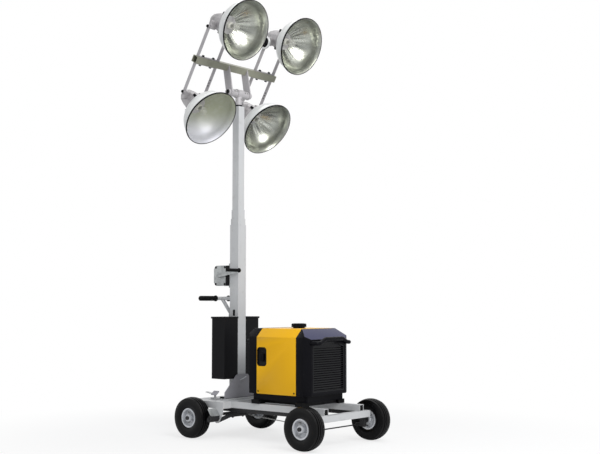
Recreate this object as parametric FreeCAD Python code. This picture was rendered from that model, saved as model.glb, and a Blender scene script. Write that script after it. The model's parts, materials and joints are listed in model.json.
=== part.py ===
# Mobile light tower: a four-wheel hand cart with a generator, a telescopic mast and four flood lamps.
# Millimetres. +X is forward (the steered wheels), +Y is left, +Z is up.
# The origin is on the ground, below the middle of the overall length.
import FreeCAD
import Part
import math
import os
from collections import namedtuple

Vector = FreeCAD.Vector
axis_x = Vector(1, 0, 0)
axis_y = Vector(0, 1, 0)
axis_z = Vector(0, 0, 1)

# From the middle of the wheelbase, where the sizes below start, to the middle of the overall length
overall_middle_x = -22.4

# Wheels
wheel_base = 930.0
track = 656.0
tyre_radius = 130.0
tyre_width = 90.0
tyre_bead_radius = 56.0
tyre_crown = 7.0
tyre_shoulder = 12.0
rim_inset = 13.0
rim_flange_radius = 61.0
rim_wall = 3.5
hub_radius = 22.0
hub_half_length = 40.0
axle_radius = 10.0
axle_shoulder_radius = 15.0
axle_nut_radius = 12.5
axle_nut_length = 9.0

# Running clearances
pin_clearance = 0.05
face_clearance = 0.3
open_pivot_clearance = 1.5

# Chassis
tube_side = 40.0
tube_wall = 3.0
rail_spacing = 350.0
cross_tube_ahead = 30.0
cross_tube_half = 255.0
rail_setback = 7.0
rail_top = 235.0
deck_front = -250.0
deck_length = 310.0
deck_half_width = 270.0
deck_skirt = 42.0
deck_plate = 4.0

# Steering
kingpin_inset = 76.0
kingpin_radius = 8.0
knuckle_radius = 17.0
yoke_width = 44.0
yoke_plate = 6.0
yoke_drop = 59.0
yoke_web = 8.0
arm_length = 50.0
arm_width = 22.0
arm_thickness = 8.0
tie_pin_radius = 5.0
tie_eye_radius = 11.0
tie_rod_radius = 4.0
tie_eye_height = 9.0

# Brake
brake_bar_radius = 10.0
brake_bar_ahead = 165.0
brake_bar_drop = 12.0
brake_pad_gap = 6.0
brake_pad_thickness = 6.0
brake_pad_length = 70.0
brake_pad_width = 54.0
brake_pad_angle = 24.0
pedal_place = Vector(-400, -188, 283)
pedal_post_radius = 7.0
pedal_length = 58.0
pedal_width = 42.0
pedal_tilt = 24.0

# Mast
mast_x = -380.0
mast_side = 75.0
mast_wall = 3.0
mast_gap = 0.25
mast_section_length = 1135.0
mast_exposed = [40.0, 60.0, 696.0]
foot_length = 170.0
foot_width = 330.0
foot_plate = 8.0
gusset_height = 150.0
gusset_thickness = 8.0
gusset_toe = 14.0
gusset_box_clearance = 5.0

# Ballast boxes beside the mast
ballast_length = 115.0
ballast_width = 125.0
ballast_base = 367.0
ballast_height = 400.0
ballast_wall = 3.0
lid_overhang = 5.0
lid_height = 12.0

# Winch
winch_height = 1041.0
winch_behind = 92.0
winch_plate_height = 136.0
winch_plate_length = 140.0
winch_plate = 4.0
winch_corner = 22.0
winch_bracket_height = 160.0
winch_bracket = 6.0
winch_drum_radius = 34.0
winch_drum_core = 22.0
winch_shaft_radius = 8.0
crank_length = 205.0
crank_rise = 9.0
crank_bar_width = 24.0
crank_bar = 5.0
crank_stand_off = 18.0
crank_grip_radius = 11.0
crank_grip_length = 112.0

# Push handle
handle_height = 890.0
handle_behind = 108.0
handle_radius = 12.0
handle_half = 205.0
handle_brace_drop = 112.0
grip_radius = 15.5
grip_flange_radius = 19.0
grip_length = 150.0
grip_end = 4.0

# Generator
gen_rear = -106.0
gen_front = 391.0
gen_half_width = 215.0
gen_seam_rear = -14.0
gen_seam_front = 305.0
gen_bottom = 300.0
gen_shoulder = 650.0
gen_top = 702.0
gen_shoulder_inset = 52.0
gen_wall = 5.0
gen_corner_radius = 40.0
gen_base_inset = 30.0
gen_base_bottom = 261.0
gen_foot_length = 62.0
gen_foot_width = 60.0
gen_foot_inset = 40.0
grille_half_width = 152.0
grille_bottom = 322.0
grille_top = 596.0
grille_arch = 26.0
louvre_count = 19
louvre_depth = 9.0
louvre_thickness = 3.0
gen_handle_radius = 11.0
gen_handle_reach = 46.0
gen_handle_half = 168.0
gen_handle_drop = 84.0
fuel_cap_x = 150.0
fuel_cap_radius = 43.0
fuel_cap_height = 24.0
engine_length = 330.0
engine_width = 240.0
engine_height = 250.0

# Mast head
stub_radius = 16.0
stub_length = 62.0
stub_ring_height = 12.0
socket_radius = 22.0
socket_length = 52.0
pivot_above_mast = 88.0
pivot_tube_radius = 21.0
pivot_tube_wall = 4.0
pivot_tube_half = 108.0
sleeve_radius = 25.5
sleeve_half = 80.0
collar_radius = 30.0
collar_half = 28.0
upright_width = 56.0
upright_thickness = 8.0
upright_inner = 84.0
crossbar_behind = 30.0
crossbar_above = 175.0
crossbar_side = 45.0
crossbar_wall = 3.0
crossbar_half = 385.0
crossbar_lean = 30.0

# Lamps
lamp_spacing = 550.0
stirrup_half = 93.0
stirrup_width = 25.0
stirrup_thickness = 5.0
stirrup_reach = 228.0
stirrup_bolt_radius = 6.0
lamp_pin_radius = 5.0
lamp_boss_radius = 14.0
lamp_axis_offset = 45.0
lamp_rim_ahead = 240.0
lamp_rim_radius = 193.0
lamp_rim_lip = 6.0
reflector_depth = 165.0
reflector_neck_radius = 62.0
reflector_wall = 2.0
lens_thickness = 3.0
lens_setback = 5.0
housing_radius = 60.0
housing_joint_radius = 72.0
housing_tail = 82.0
fin_count = 12
fin_height = 9.0
fin_thickness = 4.0
upper_aim = 22.0
lower_aim = 38.0

# Sizes worked out from the ones above
axle_x = wheel_base / 2
hub_z = tyre_radius
wheel_y = track / 2
kingpin_y = wheel_y - kingpin_inset
rail_bottom = rail_top - tube_side
cross_bottom = rail_bottom - tube_side
cross_x = axle_x + cross_tube_ahead
rail_front = cross_x + tube_side / 2 - rail_setback
hub_inner_y = wheel_y - hub_half_length
deck_rear = deck_front - deck_length
mast_sides = [mast_side]
for index in range(3):
    mast_sides.append(mast_sides[-1] - 2 * (mast_wall + mast_gap))
mast_base = rail_top + foot_plate
mast_tops = [mast_base + mast_section_length]
for exposed in mast_exposed:
    mast_tops.append(mast_tops[-1] + exposed)
mast_rear = mast_x - mast_side / 2
mast_front = mast_x + mast_side / 2
pivot_z = mast_tops[3] + pivot_above_mast
crossbar_x = mast_x - crossbar_behind
crossbar_z = pivot_z + crossbar_above


def block(x0, x1, y0, y1, z0, z1):
    return Part.makeBox(x1 - x0, y1 - y0, z1 - z0, Vector(x0, y0, z0))


def rod(start, end, radius):
    run = end - start
    return Part.makeCylinder(radius, run.Length, start, run)


def prism(points, run):
    wire = Part.makePolygon(points + [points[0]])
    return Part.Face(wire).extrude(run)


def fuse(shapes):
    return shapes[0].multiFuse(shapes[1:]).removeSplitter()


def mirrored(shape):
    return shape.mirror(Vector(0, 0, 0), axis_y)


def turned(shape, centre, axis, angle):
    copy = shape.copy()
    copy.rotate(centre, axis, angle)
    return copy


def hollow_tube(side, wall, length):
    # A square tube along +Z, centred on the Z axis.
    inner = side - 2 * wall
    outer_box = block(-side / 2, side / 2, -side / 2, side / 2, 0, length)
    inner_box = block(-inner / 2, inner / 2, -inner / 2, inner / 2, 0, length)
    return outer_box.cut(inner_box)


def spun(points, centre, axis):
    # A closed (radius, height) outline revolved about an axis.
    side = axis.cross(axis_z)
    if side.Length < 0.5:
        side = axis_x
    outline = [centre + side * r + axis * h for r, h in points]
    wire = Part.makePolygon(outline + [outline[0]])
    return Part.Face(wire).revolve(centre, axis, 360)


def save(name, shape):
    shape.translated(Vector(-overall_middle_x, 0, 0)).exportStep("parts/" + name + ".step")


# Chassis
def frame_rails():
    length = rail_front - deck_front
    rail = turned(hollow_tube(tube_side, tube_wall, length), Vector(0, 0, 0), axis_y, 90)
    rails = []
    for side in (-1, 1):
        place = Vector(deck_front, side * rail_spacing / 2, rail_top - tube_side / 2)
        rails.append(rail.translated(place))
    return Part.makeCompound(rails)


def front_cross_tube():
    tube = turned(hollow_tube(tube_side, tube_wall, 2 * cross_tube_half), Vector(0, 0, 0), axis_x, -90)
    return tube.translated(Vector(cross_x, -cross_tube_half, rail_bottom - tube_side / 2))


def kingpin_yokes():
    # Two plates and a web carry each kingpin under the end of the cross tube.
    low = cross_bottom - yoke_drop
    back = axle_x - yoke_width / 2
    front = axle_x + yoke_width / 2
    inner = kingpin_y - knuckle_radius - yoke_web - 6
    outer = kingpin_y + 16
    top_plate = block(back, cross_x + 5, inner, outer, cross_bottom - yoke_plate, cross_bottom)
    low_plate = block(back, front, inner, outer, low, low + yoke_plate)
    web = block(axle_x - 8, front, inner, inner + yoke_web, low, cross_bottom)
    centre = Vector(axle_x, kingpin_y, low - yoke_plate)
    pin = rod(centre, centre + axis_z * (cross_bottom - centre.z), kingpin_radius)
    head = rod(centre, centre + axis_z * yoke_plate, kingpin_radius + 5)
    left = fuse([top_plate, low_plate, web, pin, head])
    return Part.makeCompound([left, mirrored(left)])


def rear_deck():
    # A folded tray: a top plate with a skirt all round, and corner plates for the brake bar.
    low = rail_top - deck_skirt
    half = deck_half_width
    outer = block(deck_rear, deck_front, -half, half, low, rail_top)
    inner = block(deck_rear + deck_plate, deck_front - deck_plate, deck_plate - half, half - deck_plate,
                  low, rail_top - deck_plate)
    tray = outer.cut(inner)
    bar_z = hub_z - brake_bar_drop
    bar_x = -axle_x + brake_bar_ahead
    corner_points = [
        Vector(bar_x - 22, half - deck_plate, low + 5),
        Vector(deck_front, half - deck_plate, low + 5),
        Vector(deck_front, half - deck_plate, low - 26),
        Vector(bar_x + 14, half - deck_plate, bar_z - 16),
        Vector(bar_x - 14, half - deck_plate, bar_z - 16),
    ]
    corner = prism(corner_points, axis_y * deck_plate)
    bar = rod(Vector(bar_x, -half, bar_z), Vector(bar_x, half, bar_z), brake_bar_radius)
    return fuse([tray, corner, mirrored(corner)]).cut(bar)


def rear_axle():
    # A fixed shaft in two hanger plates under the deck. The wheels turn on its ends.
    low = hub_z - 20
    top = rail_top - deck_plate
    hanger_y = deck_half_width - 35
    x = -axle_x
    hanger_points = [
        Vector(x - 38, hanger_y, top),
        Vector(x + 38, hanger_y, top),
        Vector(x + 20, hanger_y, low),
        Vector(x - 20, hanger_y, low),
    ]
    hanger = prism(hanger_points, axis_y * 8)
    end = wheel_y + hub_half_length + face_clearance
    shaft = rod(Vector(x, -end, hub_z), Vector(x, end, hub_z), axle_radius)
    pieces = [hanger, mirrored(hanger), shaft]
    for side in (-1, 1):
        shoulder_end = side * (hub_inner_y - face_clearance)
        pieces.append(rod(Vector(x, side * hanger_y, hub_z), Vector(x, shoulder_end, hub_z),
                          axle_shoulder_radius))
        pieces.append(rod(Vector(x, side * end, hub_z), Vector(x, side * (end + axle_nut_length), hub_z),
                          axle_nut_radius))
    return fuse(pieces)


def brake_bar():
    # The parking brake's cross bar, with a pad in front of each rear tyre.
    x = -axle_x + brake_bar_ahead
    z = hub_z - brake_bar_drop
    reach = wheel_y + brake_pad_width / 2
    bar = rod(Vector(x, -reach, z), Vector(x, reach, z), brake_bar_radius)
    inner = tyre_radius + brake_pad_gap
    half = brake_pad_length / 2
    y0 = wheel_y - brake_pad_width / 2
    pad = block(inner, inner + brake_pad_thickness, y0, reach, -half, half)
    pad = turned(pad, Vector(0, 0, 0), axis_y, -brake_pad_angle).translated(Vector(-axle_x, 0, hub_z))
    angle = math.radians(brake_pad_angle)
    seat_x = -axle_x + (inner + brake_pad_thickness - 1) * math.cos(angle)
    seat_z = hub_z + (inner + brake_pad_thickness - 1) * math.sin(angle)
    arm_points = [
        Vector(x - 8, y0, z - 4),
        Vector(x + 9, y0, z + 2),
        Vector(seat_x + 9, y0, seat_z + 8),
        Vector(seat_x + 6, y0, seat_z - 22),
    ]
    arm = prism(arm_points, axis_y * 6)
    pad_left = fuse([pad, arm])
    return fuse([bar, pad_left, mirrored(pad_left)])


def brake_pedal():
    foot = Vector(pedal_place.x, pedal_place.y, rail_top)
    post = rod(foot, pedal_place, pedal_post_radius)
    plate = block(-pedal_length / 2, pedal_length / 2, -pedal_width / 2, pedal_width / 2, -3, 3)
    plate = turned(plate, Vector(0, 0, 0), axis_y, pedal_tilt).translated(pedal_place)
    lever_end = pedal_place + Vector(-70, 0, 4)
    lever = rod(pedal_place, lever_end, 4)
    collar = rod(foot, foot + axis_z * 5, pedal_post_radius + 6)
    return fuse([post, plate, lever, collar])


# Steering
def knuckle_left():
    top = cross_bottom - yoke_plate - face_clearance
    low = cross_bottom - yoke_drop + yoke_plate + face_clearance
    centre = Vector(axle_x, kingpin_y, low)
    barrel = rod(centre, centre + axis_z * (top - low), knuckle_radius)
    end = wheel_y + hub_half_length + face_clearance
    stub = rod(Vector(axle_x, kingpin_y, hub_z), Vector(axle_x, end, hub_z), axle_radius)
    shoulder = rod(Vector(axle_x, kingpin_y, hub_z),
                   Vector(axle_x, hub_inner_y - face_clearance, hub_z), axle_shoulder_radius)
    nut = rod(Vector(axle_x, end, hub_z), Vector(axle_x, end + axle_nut_length, hub_z), axle_nut_radius)
    arm_low = low + 2
    arm = block(axle_x - arm_length, axle_x, kingpin_y - arm_width / 2, kingpin_y + arm_width / 2,
                arm_low, arm_low + arm_thickness)
    tip = Vector(axle_x - arm_length, kingpin_y, arm_low)
    tip_round = rod(tip, tip + axis_z * arm_thickness, arm_width / 2)
    pin_low = arm_low - 2 * face_clearance - tie_eye_height
    pin = rod(Vector(tip.x, tip.y, pin_low), tip, tie_pin_radius)
    pin_head = rod(Vector(tip.x, tip.y, pin_low - 5), Vector(tip.x, tip.y, pin_low), tie_pin_radius + 3)
    body = fuse([barrel, stub, shoulder, nut, arm, tip_round, pin, pin_head])
    bore = rod(centre - axis_z, centre + axis_z * (top - low + 2), kingpin_radius + pin_clearance)
    return body.cut(bore)


def tie_rod():
    # The right eye turns on its pin. The left eye is the linkage's open pivot, with more clearance.
    arm_low = cross_bottom - yoke_drop + yoke_plate + face_clearance + 2
    x = axle_x - arm_length
    top = arm_low - face_clearance
    low = top - tie_eye_height
    middle = (top + low) / 2
    rods = [rod(Vector(x, -kingpin_y, middle), Vector(x, kingpin_y, middle), tie_rod_radius)]
    for side in (-1, 1):
        rods.append(rod(Vector(x, side * kingpin_y, low), Vector(x, side * kingpin_y, top), tie_eye_radius))
    body = fuse(rods)
    for side, clearance in ((-1, pin_clearance), (1, open_pivot_clearance)):
        body = body.cut(rod(Vector(x, side * kingpin_y, low - 1), Vector(x, side * kingpin_y, top + 1),
                            tie_pin_radius + clearance))
    return body


# Wheels
def tyre(centre):
    # A rounded cross-section with a low crown, revolved about the wheel's axis.
    half = tyre_width / 2
    bead = half - rim_inset
    crown = [(tyre_radius - tyre_crown, half - tyre_shoulder), (tyre_radius, 0)]
    wall = (tyre_radius - 36, half)
    outline = [
        (tyre_bead_radius, -bead),
        (rim_flange_radius, -bead),
        (wall[0], -wall[1]),
        (crown[0][0], -crown[0][1]),
        crown[1],
        crown[0],
        wall,
        (rim_flange_radius, bead),
        (tyre_bead_radius, bead),
    ]
    points = [centre + axis_x * r + axis_y * h for r, h in outline]
    edges = [
        Part.LineSegment(points[0], points[1]).toShape(),
        Part.Arc(points[1], points[2], points[3]).toShape(),
        Part.Arc(points[3], points[4], points[5]).toShape(),
        Part.Arc(points[5], points[6], points[7]).toShape(),
        Part.LineSegment(points[7], points[8]).toShape(),
        Part.LineSegment(points[8], points[0]).toShape(),
    ]
    return Part.Face(Part.Wire(edges)).revolve(centre, axis_y, 360)


def rim(centre, outward):
    # A pressed rim with flanges, a dished disc and a hub tube. outward is +1 on the left, -1 on the right.
    half = tyre_width / 2
    bead = half - rim_inset
    barrel = tyre_bead_radius
    inside = barrel - rim_wall
    lip = bead + rim_wall
    outline = [
        (rim_flange_radius, lip),
        (rim_flange_radius, bead),
        (barrel, bead),
        (barrel, -bead),
        (rim_flange_radius, -bead),
        (rim_flange_radius, -lip),
        (inside, -lip),
        (inside, -rim_wall),
        (hub_radius + 8, -12),
        (hub_radius, -14),
        (hub_radius, -hub_half_length),
        (axle_radius + pin_clearance, -hub_half_length),
        (axle_radius + pin_clearance, hub_half_length),
        (hub_radius, hub_half_length),
        (hub_radius, -9),
        (hub_radius + 8, -7),
        (inside, rim_wall),
        (inside, lip),
    ]
    return spun([(r, h * outward) for r, h in outline], centre, axis_y)


# Mast
def mast_foot():
    x0 = mast_x - foot_length / 2
    x1 = mast_x + foot_length / 2
    plate = block(x0, x1, -foot_width / 2, foot_width / 2, rail_top, mast_base)
    bottom = foot_width / 2 - 3
    top = mast_side / 2
    gussets = []
    rear_height = ballast_base - gusset_box_clearance - mast_base
    for x, height in ((mast_front, gusset_height), (mast_rear - gusset_thickness, rear_height)):
        points = [
            Vector(x, -bottom, mast_base),
            Vector(x, bottom, mast_base),
            Vector(x, bottom, mast_base + gusset_toe),
            Vector(x, top, mast_base + height),
            Vector(x, -top, mast_base + height),
            Vector(x, -bottom, mast_base + gusset_toe),
        ]
        gussets.append(prism(points, axis_x * gusset_thickness))
    return fuse([plate] + gussets)


def mast_section(index):
    top = mast_tops[index]
    tube = hollow_tube(mast_sides[index], mast_wall, mast_section_length)
    tube = tube.translated(Vector(mast_x, 0, top - mast_section_length))
    if index < 3:
        return tube
    # The top section is capped and carries the stub that the lamp head turns on.
    half = mast_sides[3] / 2
    cap = block(mast_x - half, mast_x + half, -half, half, top - 6, top)
    foot = Vector(mast_x, 0, top)
    stub = rod(foot, foot + axis_z * stub_length, stub_radius)
    ring = rod(foot, foot + axis_z * stub_ring_height, stub_radius + 4)
    return fuse([tube, cap, stub, ring])


def push_handle():
    x = mast_x - handle_behind - mast_side / 2
    z = handle_height
    centre = Vector(x, 0, z)
    bar = rod(Vector(x, -handle_half, z), Vector(x, handle_half, z), handle_radius)
    stem = rod(centre, Vector(mast_rear, 0, z), handle_radius)
    low = z - handle_brace_drop
    brace = rod(centre, Vector(mast_rear - 16, 0, low), handle_radius)
    foot = block(mast_rear - 30, mast_rear, -16, 16, low - 24, low + 8)
    flange = block(mast_rear - 5, mast_rear, -26, 26, z - 24, z + 24)
    return fuse([bar, stem, brace, foot, flange])


def handle_grips():
    x = mast_x - handle_behind - mast_side / 2
    grips = []
    for side in (-1, 1):
        inner = side * (handle_half + grip_end - grip_length)
        outline = [
            (handle_radius, 0),
            (grip_flange_radius, 0),
            (grip_flange_radius, 5),
            (grip_radius, 9),
            (grip_radius, grip_length - 12),
            (grip_radius + 2, grip_length - 8),
            (grip_radius + 2, grip_length - 3),
            (grip_radius - 2, grip_length),
            (0, grip_length),
            (0, grip_length - grip_end),
            (handle_radius, grip_length - grip_end),
        ]
        grips.append(spun(outline, Vector(x, inner, handle_height), axis_y * side))
    return Part.makeCompound(grips)


# Ballast boxes
def ballast_box(side):
    x0 = mast_front - ballast_length
    y0 = mast_side / 2
    y1 = y0 + ballast_width
    w = ballast_wall
    top = ballast_base + ballast_height
    outer = block(x0, mast_front, y0, y1, ballast_base, top)
    inner = block(x0 + w, mast_front - w, y0 + w, y1 - w, ballast_base + w, top)
    box = outer.cut(inner)
    return box if side > 0 else mirrored(box)


def ballast_lids():
    x0 = mast_front - ballast_length - lid_overhang
    x1 = mast_front + lid_overhang
    y0 = mast_side / 2
    y1 = y0 + ballast_width + lid_overhang
    top = ballast_base + ballast_height
    skin = block(x0, x1, y0, y1, top - lid_height + ballast_wall, top + ballast_wall)
    room = block(x0 + lid_overhang, x1 - lid_overhang, y0, y1 - lid_overhang, 0, top)
    lid = skin.cut(room)
    return Part.makeCompound([lid, mirrored(lid)])


# Winch
def winch_frame():
    x1 = mast_rear
    x0 = x1 - winch_bracket
    half = mast_side / 2 + 3
    z = winch_height
    bracket = block(x0, x1, -half, half, z - winch_bracket_height / 2, z + winch_bracket_height / 2)
    c = winch_corner
    low = z - winch_plate_height / 2
    high = z + winch_plate_height / 2
    rear = x0 - winch_plate_length
    y = half - winch_plate
    points = [
        Vector(x0, y, low),
        Vector(x0, y, high),
        Vector(rear + c, y, high),
        Vector(rear, y, high - c),
        Vector(rear, y, low + c),
        Vector(rear + c, y, low),
    ]
    plate = prism(points, axis_y * winch_plate)
    body = fuse([bracket, plate, mirrored(plate)])
    shaft_x = mast_rear - winch_behind
    bore = rod(Vector(shaft_x, -half - 1, z), Vector(shaft_x, 0, z), winch_shaft_radius + pin_clearance)
    return body.cut(bore)


def winch_drum():
    # The spool sits between the side plates on its own axle.
    half = mast_side / 2 + 3 - winch_plate
    x = mast_rear - winch_bracket - winch_drum_radius - 6
    outline = [
        (0, -half),
        (9, -half),
        (9, -half + 6),
        (winch_drum_radius, -half + 6),
        (winch_drum_radius, -half + 9),
        (winch_drum_core, -half + 9),
        (winch_drum_core, half - 9),
        (winch_drum_radius, half - 9),
        (winch_drum_radius, half - 6),
        (9, half - 6),
        (9, half),
        (0, half),
    ]
    return spun(outline, Vector(x, 0, winch_height - 26), axis_y)


def winch_crank():
    half = mast_side / 2 + 3
    x = mast_rear - winch_behind
    z = winch_height
    arm_y = -half - crank_stand_off
    centre = Vector(x, arm_y, z)
    shaft = rod(centre, Vector(x, -half + winch_plate + 4, z), winch_shaft_radius)
    boss = rod(centre, Vector(x, -half - face_clearance - 2, z), winch_shaft_radius + 6)
    half_bar = crank_bar_width / 2
    bar = block(0, crank_length, -crank_bar, 0, -half_bar, half_bar)
    ends = [rod(Vector(place, -crank_bar, 0), Vector(place, 0, 0), half_bar) for place in (0, crank_length)]
    arm = turned(fuse([bar] + ends), Vector(0, 0, 0), axis_y, -crank_rise).translated(centre)
    return fuse([shaft, boss, arm])


def crank_grip():
    half = mast_side / 2 + 3
    angle = math.radians(crank_rise)
    x = mast_rear - winch_behind + crank_length * math.cos(angle)
    z = winch_height + crank_length * math.sin(angle)
    y = -half - crank_stand_off - crank_bar
    outline = [
        (0, 0),
        (crank_grip_radius - 1, 0),
        (crank_grip_radius, 4),
        (crank_grip_radius, crank_grip_length - 8),
        (crank_grip_radius - 4, crank_grip_length),
        (0, crank_grip_length),
    ]
    return spun(outline, Vector(x, y, z), axis_y * -1)


# Generator
def generator_section(inset):
    # The housing's section across the machine: upright sides, sloped shoulders and a flat top.
    half = gen_half_width - inset
    top_half = gen_half_width - gen_shoulder_inset - inset * 0.4
    return [
        Vector(0, -half, gen_bottom + inset),
        Vector(0, half, gen_bottom + inset),
        Vector(0, half, gen_shoulder - inset * 0.4),
        Vector(0, top_half, gen_top - inset),
        Vector(0, -top_half, gen_top - inset),
        Vector(0, -half, gen_shoulder - inset * 0.4),
    ]


def generator_slab(x0, x1, inset):
    points = [point + axis_x * x0 for point in generator_section(inset)]
    return prism(points, axis_x * (x1 - x0))


def upright_edges(shape, x_place):
    # The edges around the end face at x_place, apart from the one along its bottom.
    found = []
    for edge in shape.Edges:
        low = edge.BoundBox.XMin
        high = edge.BoundBox.XMax
        if abs(low - x_place) < 0.01 and abs(high - x_place) < 0.01 and edge.BoundBox.ZMax > gen_bottom + 1:
            found.append(edge)
    return found


def generator_cover(x_open, x_end):
    # A moulded end cover: rounded at the end, hollow towards the seam.
    sign = 1 if x_end > x_open else -1
    outer = generator_slab(min(x_open, x_end), max(x_open, x_end), 0)
    outer = outer.makeFillet(gen_corner_radius, upright_edges(outer, x_end))
    inner_end = x_end - sign * gen_wall
    inner = generator_slab(min(x_open, inner_end), max(x_open, inner_end), gen_wall)
    inner = inner.makeFillet(gen_corner_radius - gen_wall, upright_edges(inner, inner_end))
    return outer.cut(inner)


def grille_outline(x, inset):
    # The front opening: upright sides and a shallow arch over the top.
    half = grille_half_width - inset
    low = Vector(x, -half, grille_bottom + inset)
    low_end = Vector(x, half, grille_bottom + inset)
    spring = Vector(x, half, grille_top - inset)
    crown = Vector(x, 0, grille_top + grille_arch - inset)
    spring_end = Vector(x, -half, grille_top - inset)
    edges = [
        Part.LineSegment(low, low_end).toShape(),
        Part.LineSegment(low_end, spring).toShape(),
        Part.Arc(spring, crown, spring_end).toShape(),
        Part.LineSegment(spring_end, low).toShape(),
    ]
    return Part.Face(Part.Wire(edges))


def generator_front_cover():
    cover = generator_cover(gen_seam_front, gen_front)
    window = grille_outline(gen_front - 20, 0).extrude(axis_x * 30)
    return cover.cut(window)


def generator_grille():
    # A frame in the front opening with sloped louvre blades.
    back = gen_front - 14
    ring = grille_outline(back, 0).extrude(axis_x * 12).cut(grille_outline(back, 6).extrude(axis_x * 12))
    backing = grille_outline(back, 0).extrude(axis_x * 2)
    pitch = (grille_top - grille_bottom - 12) / louvre_count
    half = grille_half_width - 5
    blades = []
    for index in range(louvre_count):
        z = grille_bottom + 6 + pitch * (index + 0.5)
        points = [
            Vector(back + 1, -half, z),
            Vector(back + 2 + louvre_depth, -half, z - 4),
            Vector(back + 2 + louvre_depth, -half, z - 4 + louvre_thickness),
            Vector(back + 1, -half, z + louvre_thickness),
        ]
        blades.append(prism(points, axis_y * (2 * half)))
    return fuse([ring, backing] + blades)


def generator_mid_cover():
    outer = generator_slab(gen_seam_rear, gen_seam_front, 0)
    inner = generator_slab(gen_seam_rear, gen_seam_front, gen_wall)
    return outer.cut(inner)


def generator_base():
    x0 = gen_rear + gen_base_inset
    x1 = gen_front - gen_base_inset
    half = gen_half_width - gen_base_inset
    tray = block(x0, x1, -half, half, gen_base_bottom, gen_bottom)
    corners = [edge for edge in tray.Edges if edge.BoundBox.ZLength > 10]
    return tray.makeFillet(18, corners)


def generator_feet():
    feet = []
    y0 = rail_spacing / 2 - gen_foot_width / 2
    for x in (gen_rear + gen_foot_inset, gen_front - gen_foot_inset - gen_foot_length):
        for side in (-1, 1):
            foot = block(x, x + gen_foot_length, y0, y0 + gen_foot_width, rail_top, gen_base_bottom)
            feet.append(foot if side > 0 else mirrored(foot))
    return Part.makeCompound(feet)


def generator_handle(x_face, sign):
    # A round bar bowed out from the end cover, with feet that go back to it.
    z = gen_top - gen_handle_drop
    bend = gen_handle_reach * 0.8
    out = x_face + sign * (gen_handle_reach - gen_handle_radius)
    half = gen_handle_half
    k = bend * (1 - math.sqrt(0.5))
    a = Vector(x_face - sign * 2, -half, z)
    b = Vector(out - sign * bend, -half, z)
    c = Vector(out - sign * k, -half + k, z)
    d = Vector(out, -half + bend, z)
    e = Vector(out, half - bend, z)
    f = Vector(out - sign * k, half - k, z)
    g = Vector(out - sign * bend, half, z)
    h = Vector(x_face - sign * 2, half, z)
    edges = []
    if abs(b.x - a.x) > 1:
        edges.append(Part.LineSegment(a, b).toShape())
    edges.append(Part.Arc(b, c, d).toShape())
    edges.append(Part.LineSegment(d, e).toShape())
    edges.append(Part.Arc(e, f, g).toShape())
    if abs(b.x - a.x) > 1:
        edges.append(Part.LineSegment(g, h).toShape())
    path = Part.Wire(edges)
    start = path.Vertexes[0].Point
    ring = Part.Wire([Part.Circle(start, axis_x, gen_handle_radius).toShape()])
    bar = path.makePipeShell([ring], True, False)
    keep = block(min(x_face, out + sign * 60), max(x_face, out + sign * 60), -400, 400, z - 60, z + 60)
    return bar.common(keep)


def fuel_cap():
    foot = Vector(fuel_cap_x, 0, gen_top)
    neck = rod(foot, foot + axis_z * 6, fuel_cap_radius - 7)
    cap = rod(foot + axis_z * 6, foot + axis_z * fuel_cap_height, fuel_cap_radius)
    return fuse([neck, cap])


def engine_block():
    middle = (gen_rear + gen_front) / 2
    return block(middle - engine_length / 2, middle + engine_length / 2, -engine_width / 2, engine_width / 2,
                 gen_bottom + gen_wall, gen_bottom + gen_wall + engine_height)


# Lamp head
def head_clamp():
    # A cast tee: an upright socket on the mast's stub and a level sleeve for the pivot tube.
    foot = Vector(mast_x, 0, mast_tops[3] + stub_ring_height + face_clearance)
    socket = rod(foot, foot + axis_z * socket_length, socket_radius)
    centre = Vector(mast_x, 0, pivot_z)
    sleeve = rod(centre - axis_y * sleeve_half, centre + axis_y * sleeve_half, sleeve_radius)
    collar = rod(centre - axis_y * collar_half, centre + axis_y * collar_half, collar_radius)
    throat = rod(foot + axis_z * (socket_length - 4), centre, socket_radius)
    screws = []
    for angle in (35, 215):
        direction = Vector(math.cos(math.radians(angle)), math.sin(math.radians(angle)), 0)
        start = foot + axis_z * 20 + direction * (socket_radius - 3)
        screws.append(rod(start, start + direction * 16, 5))
    body = fuse([socket, throat, sleeve, collar] + screws)
    stub_bore = rod(foot - axis_z, foot + axis_z * (stub_length - stub_ring_height), stub_radius + pin_clearance)
    tube_bore = rod(centre - axis_y * (sleeve_half + 1), centre + axis_y * (sleeve_half + 1),
                    pivot_tube_radius + pin_clearance)
    return body.cut(stub_bore).cut(tube_bore)


def pivot_tube():
    centre = Vector(mast_x, 0, pivot_z)
    outer = rod(centre - axis_y * pivot_tube_half, centre + axis_y * pivot_tube_half, pivot_tube_radius)
    bore = rod(centre - axis_y * (pivot_tube_half + 1), centre + axis_y * (pivot_tube_half + 1),
               pivot_tube_radius - pivot_tube_wall)
    return outer.cut(bore)


def crossbar_solid(side):
    solid = block(-side / 2, side / 2, -crossbar_half, crossbar_half, -side / 2, side / 2)
    return turned(solid, Vector(0, 0, 0), axis_y, crossbar_lean).translated(Vector(crossbar_x, 0, crossbar_z))


def crossbar():
    return crossbar_solid(crossbar_side).cut(crossbar_solid(crossbar_side - 2 * crossbar_wall).fuse(
        crossbar_solid(crossbar_side - 2 * crossbar_wall).translated(Vector(0, 20, 0))).fuse(
        crossbar_solid(crossbar_side - 2 * crossbar_wall).translated(Vector(0, -20, 0))))


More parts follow.
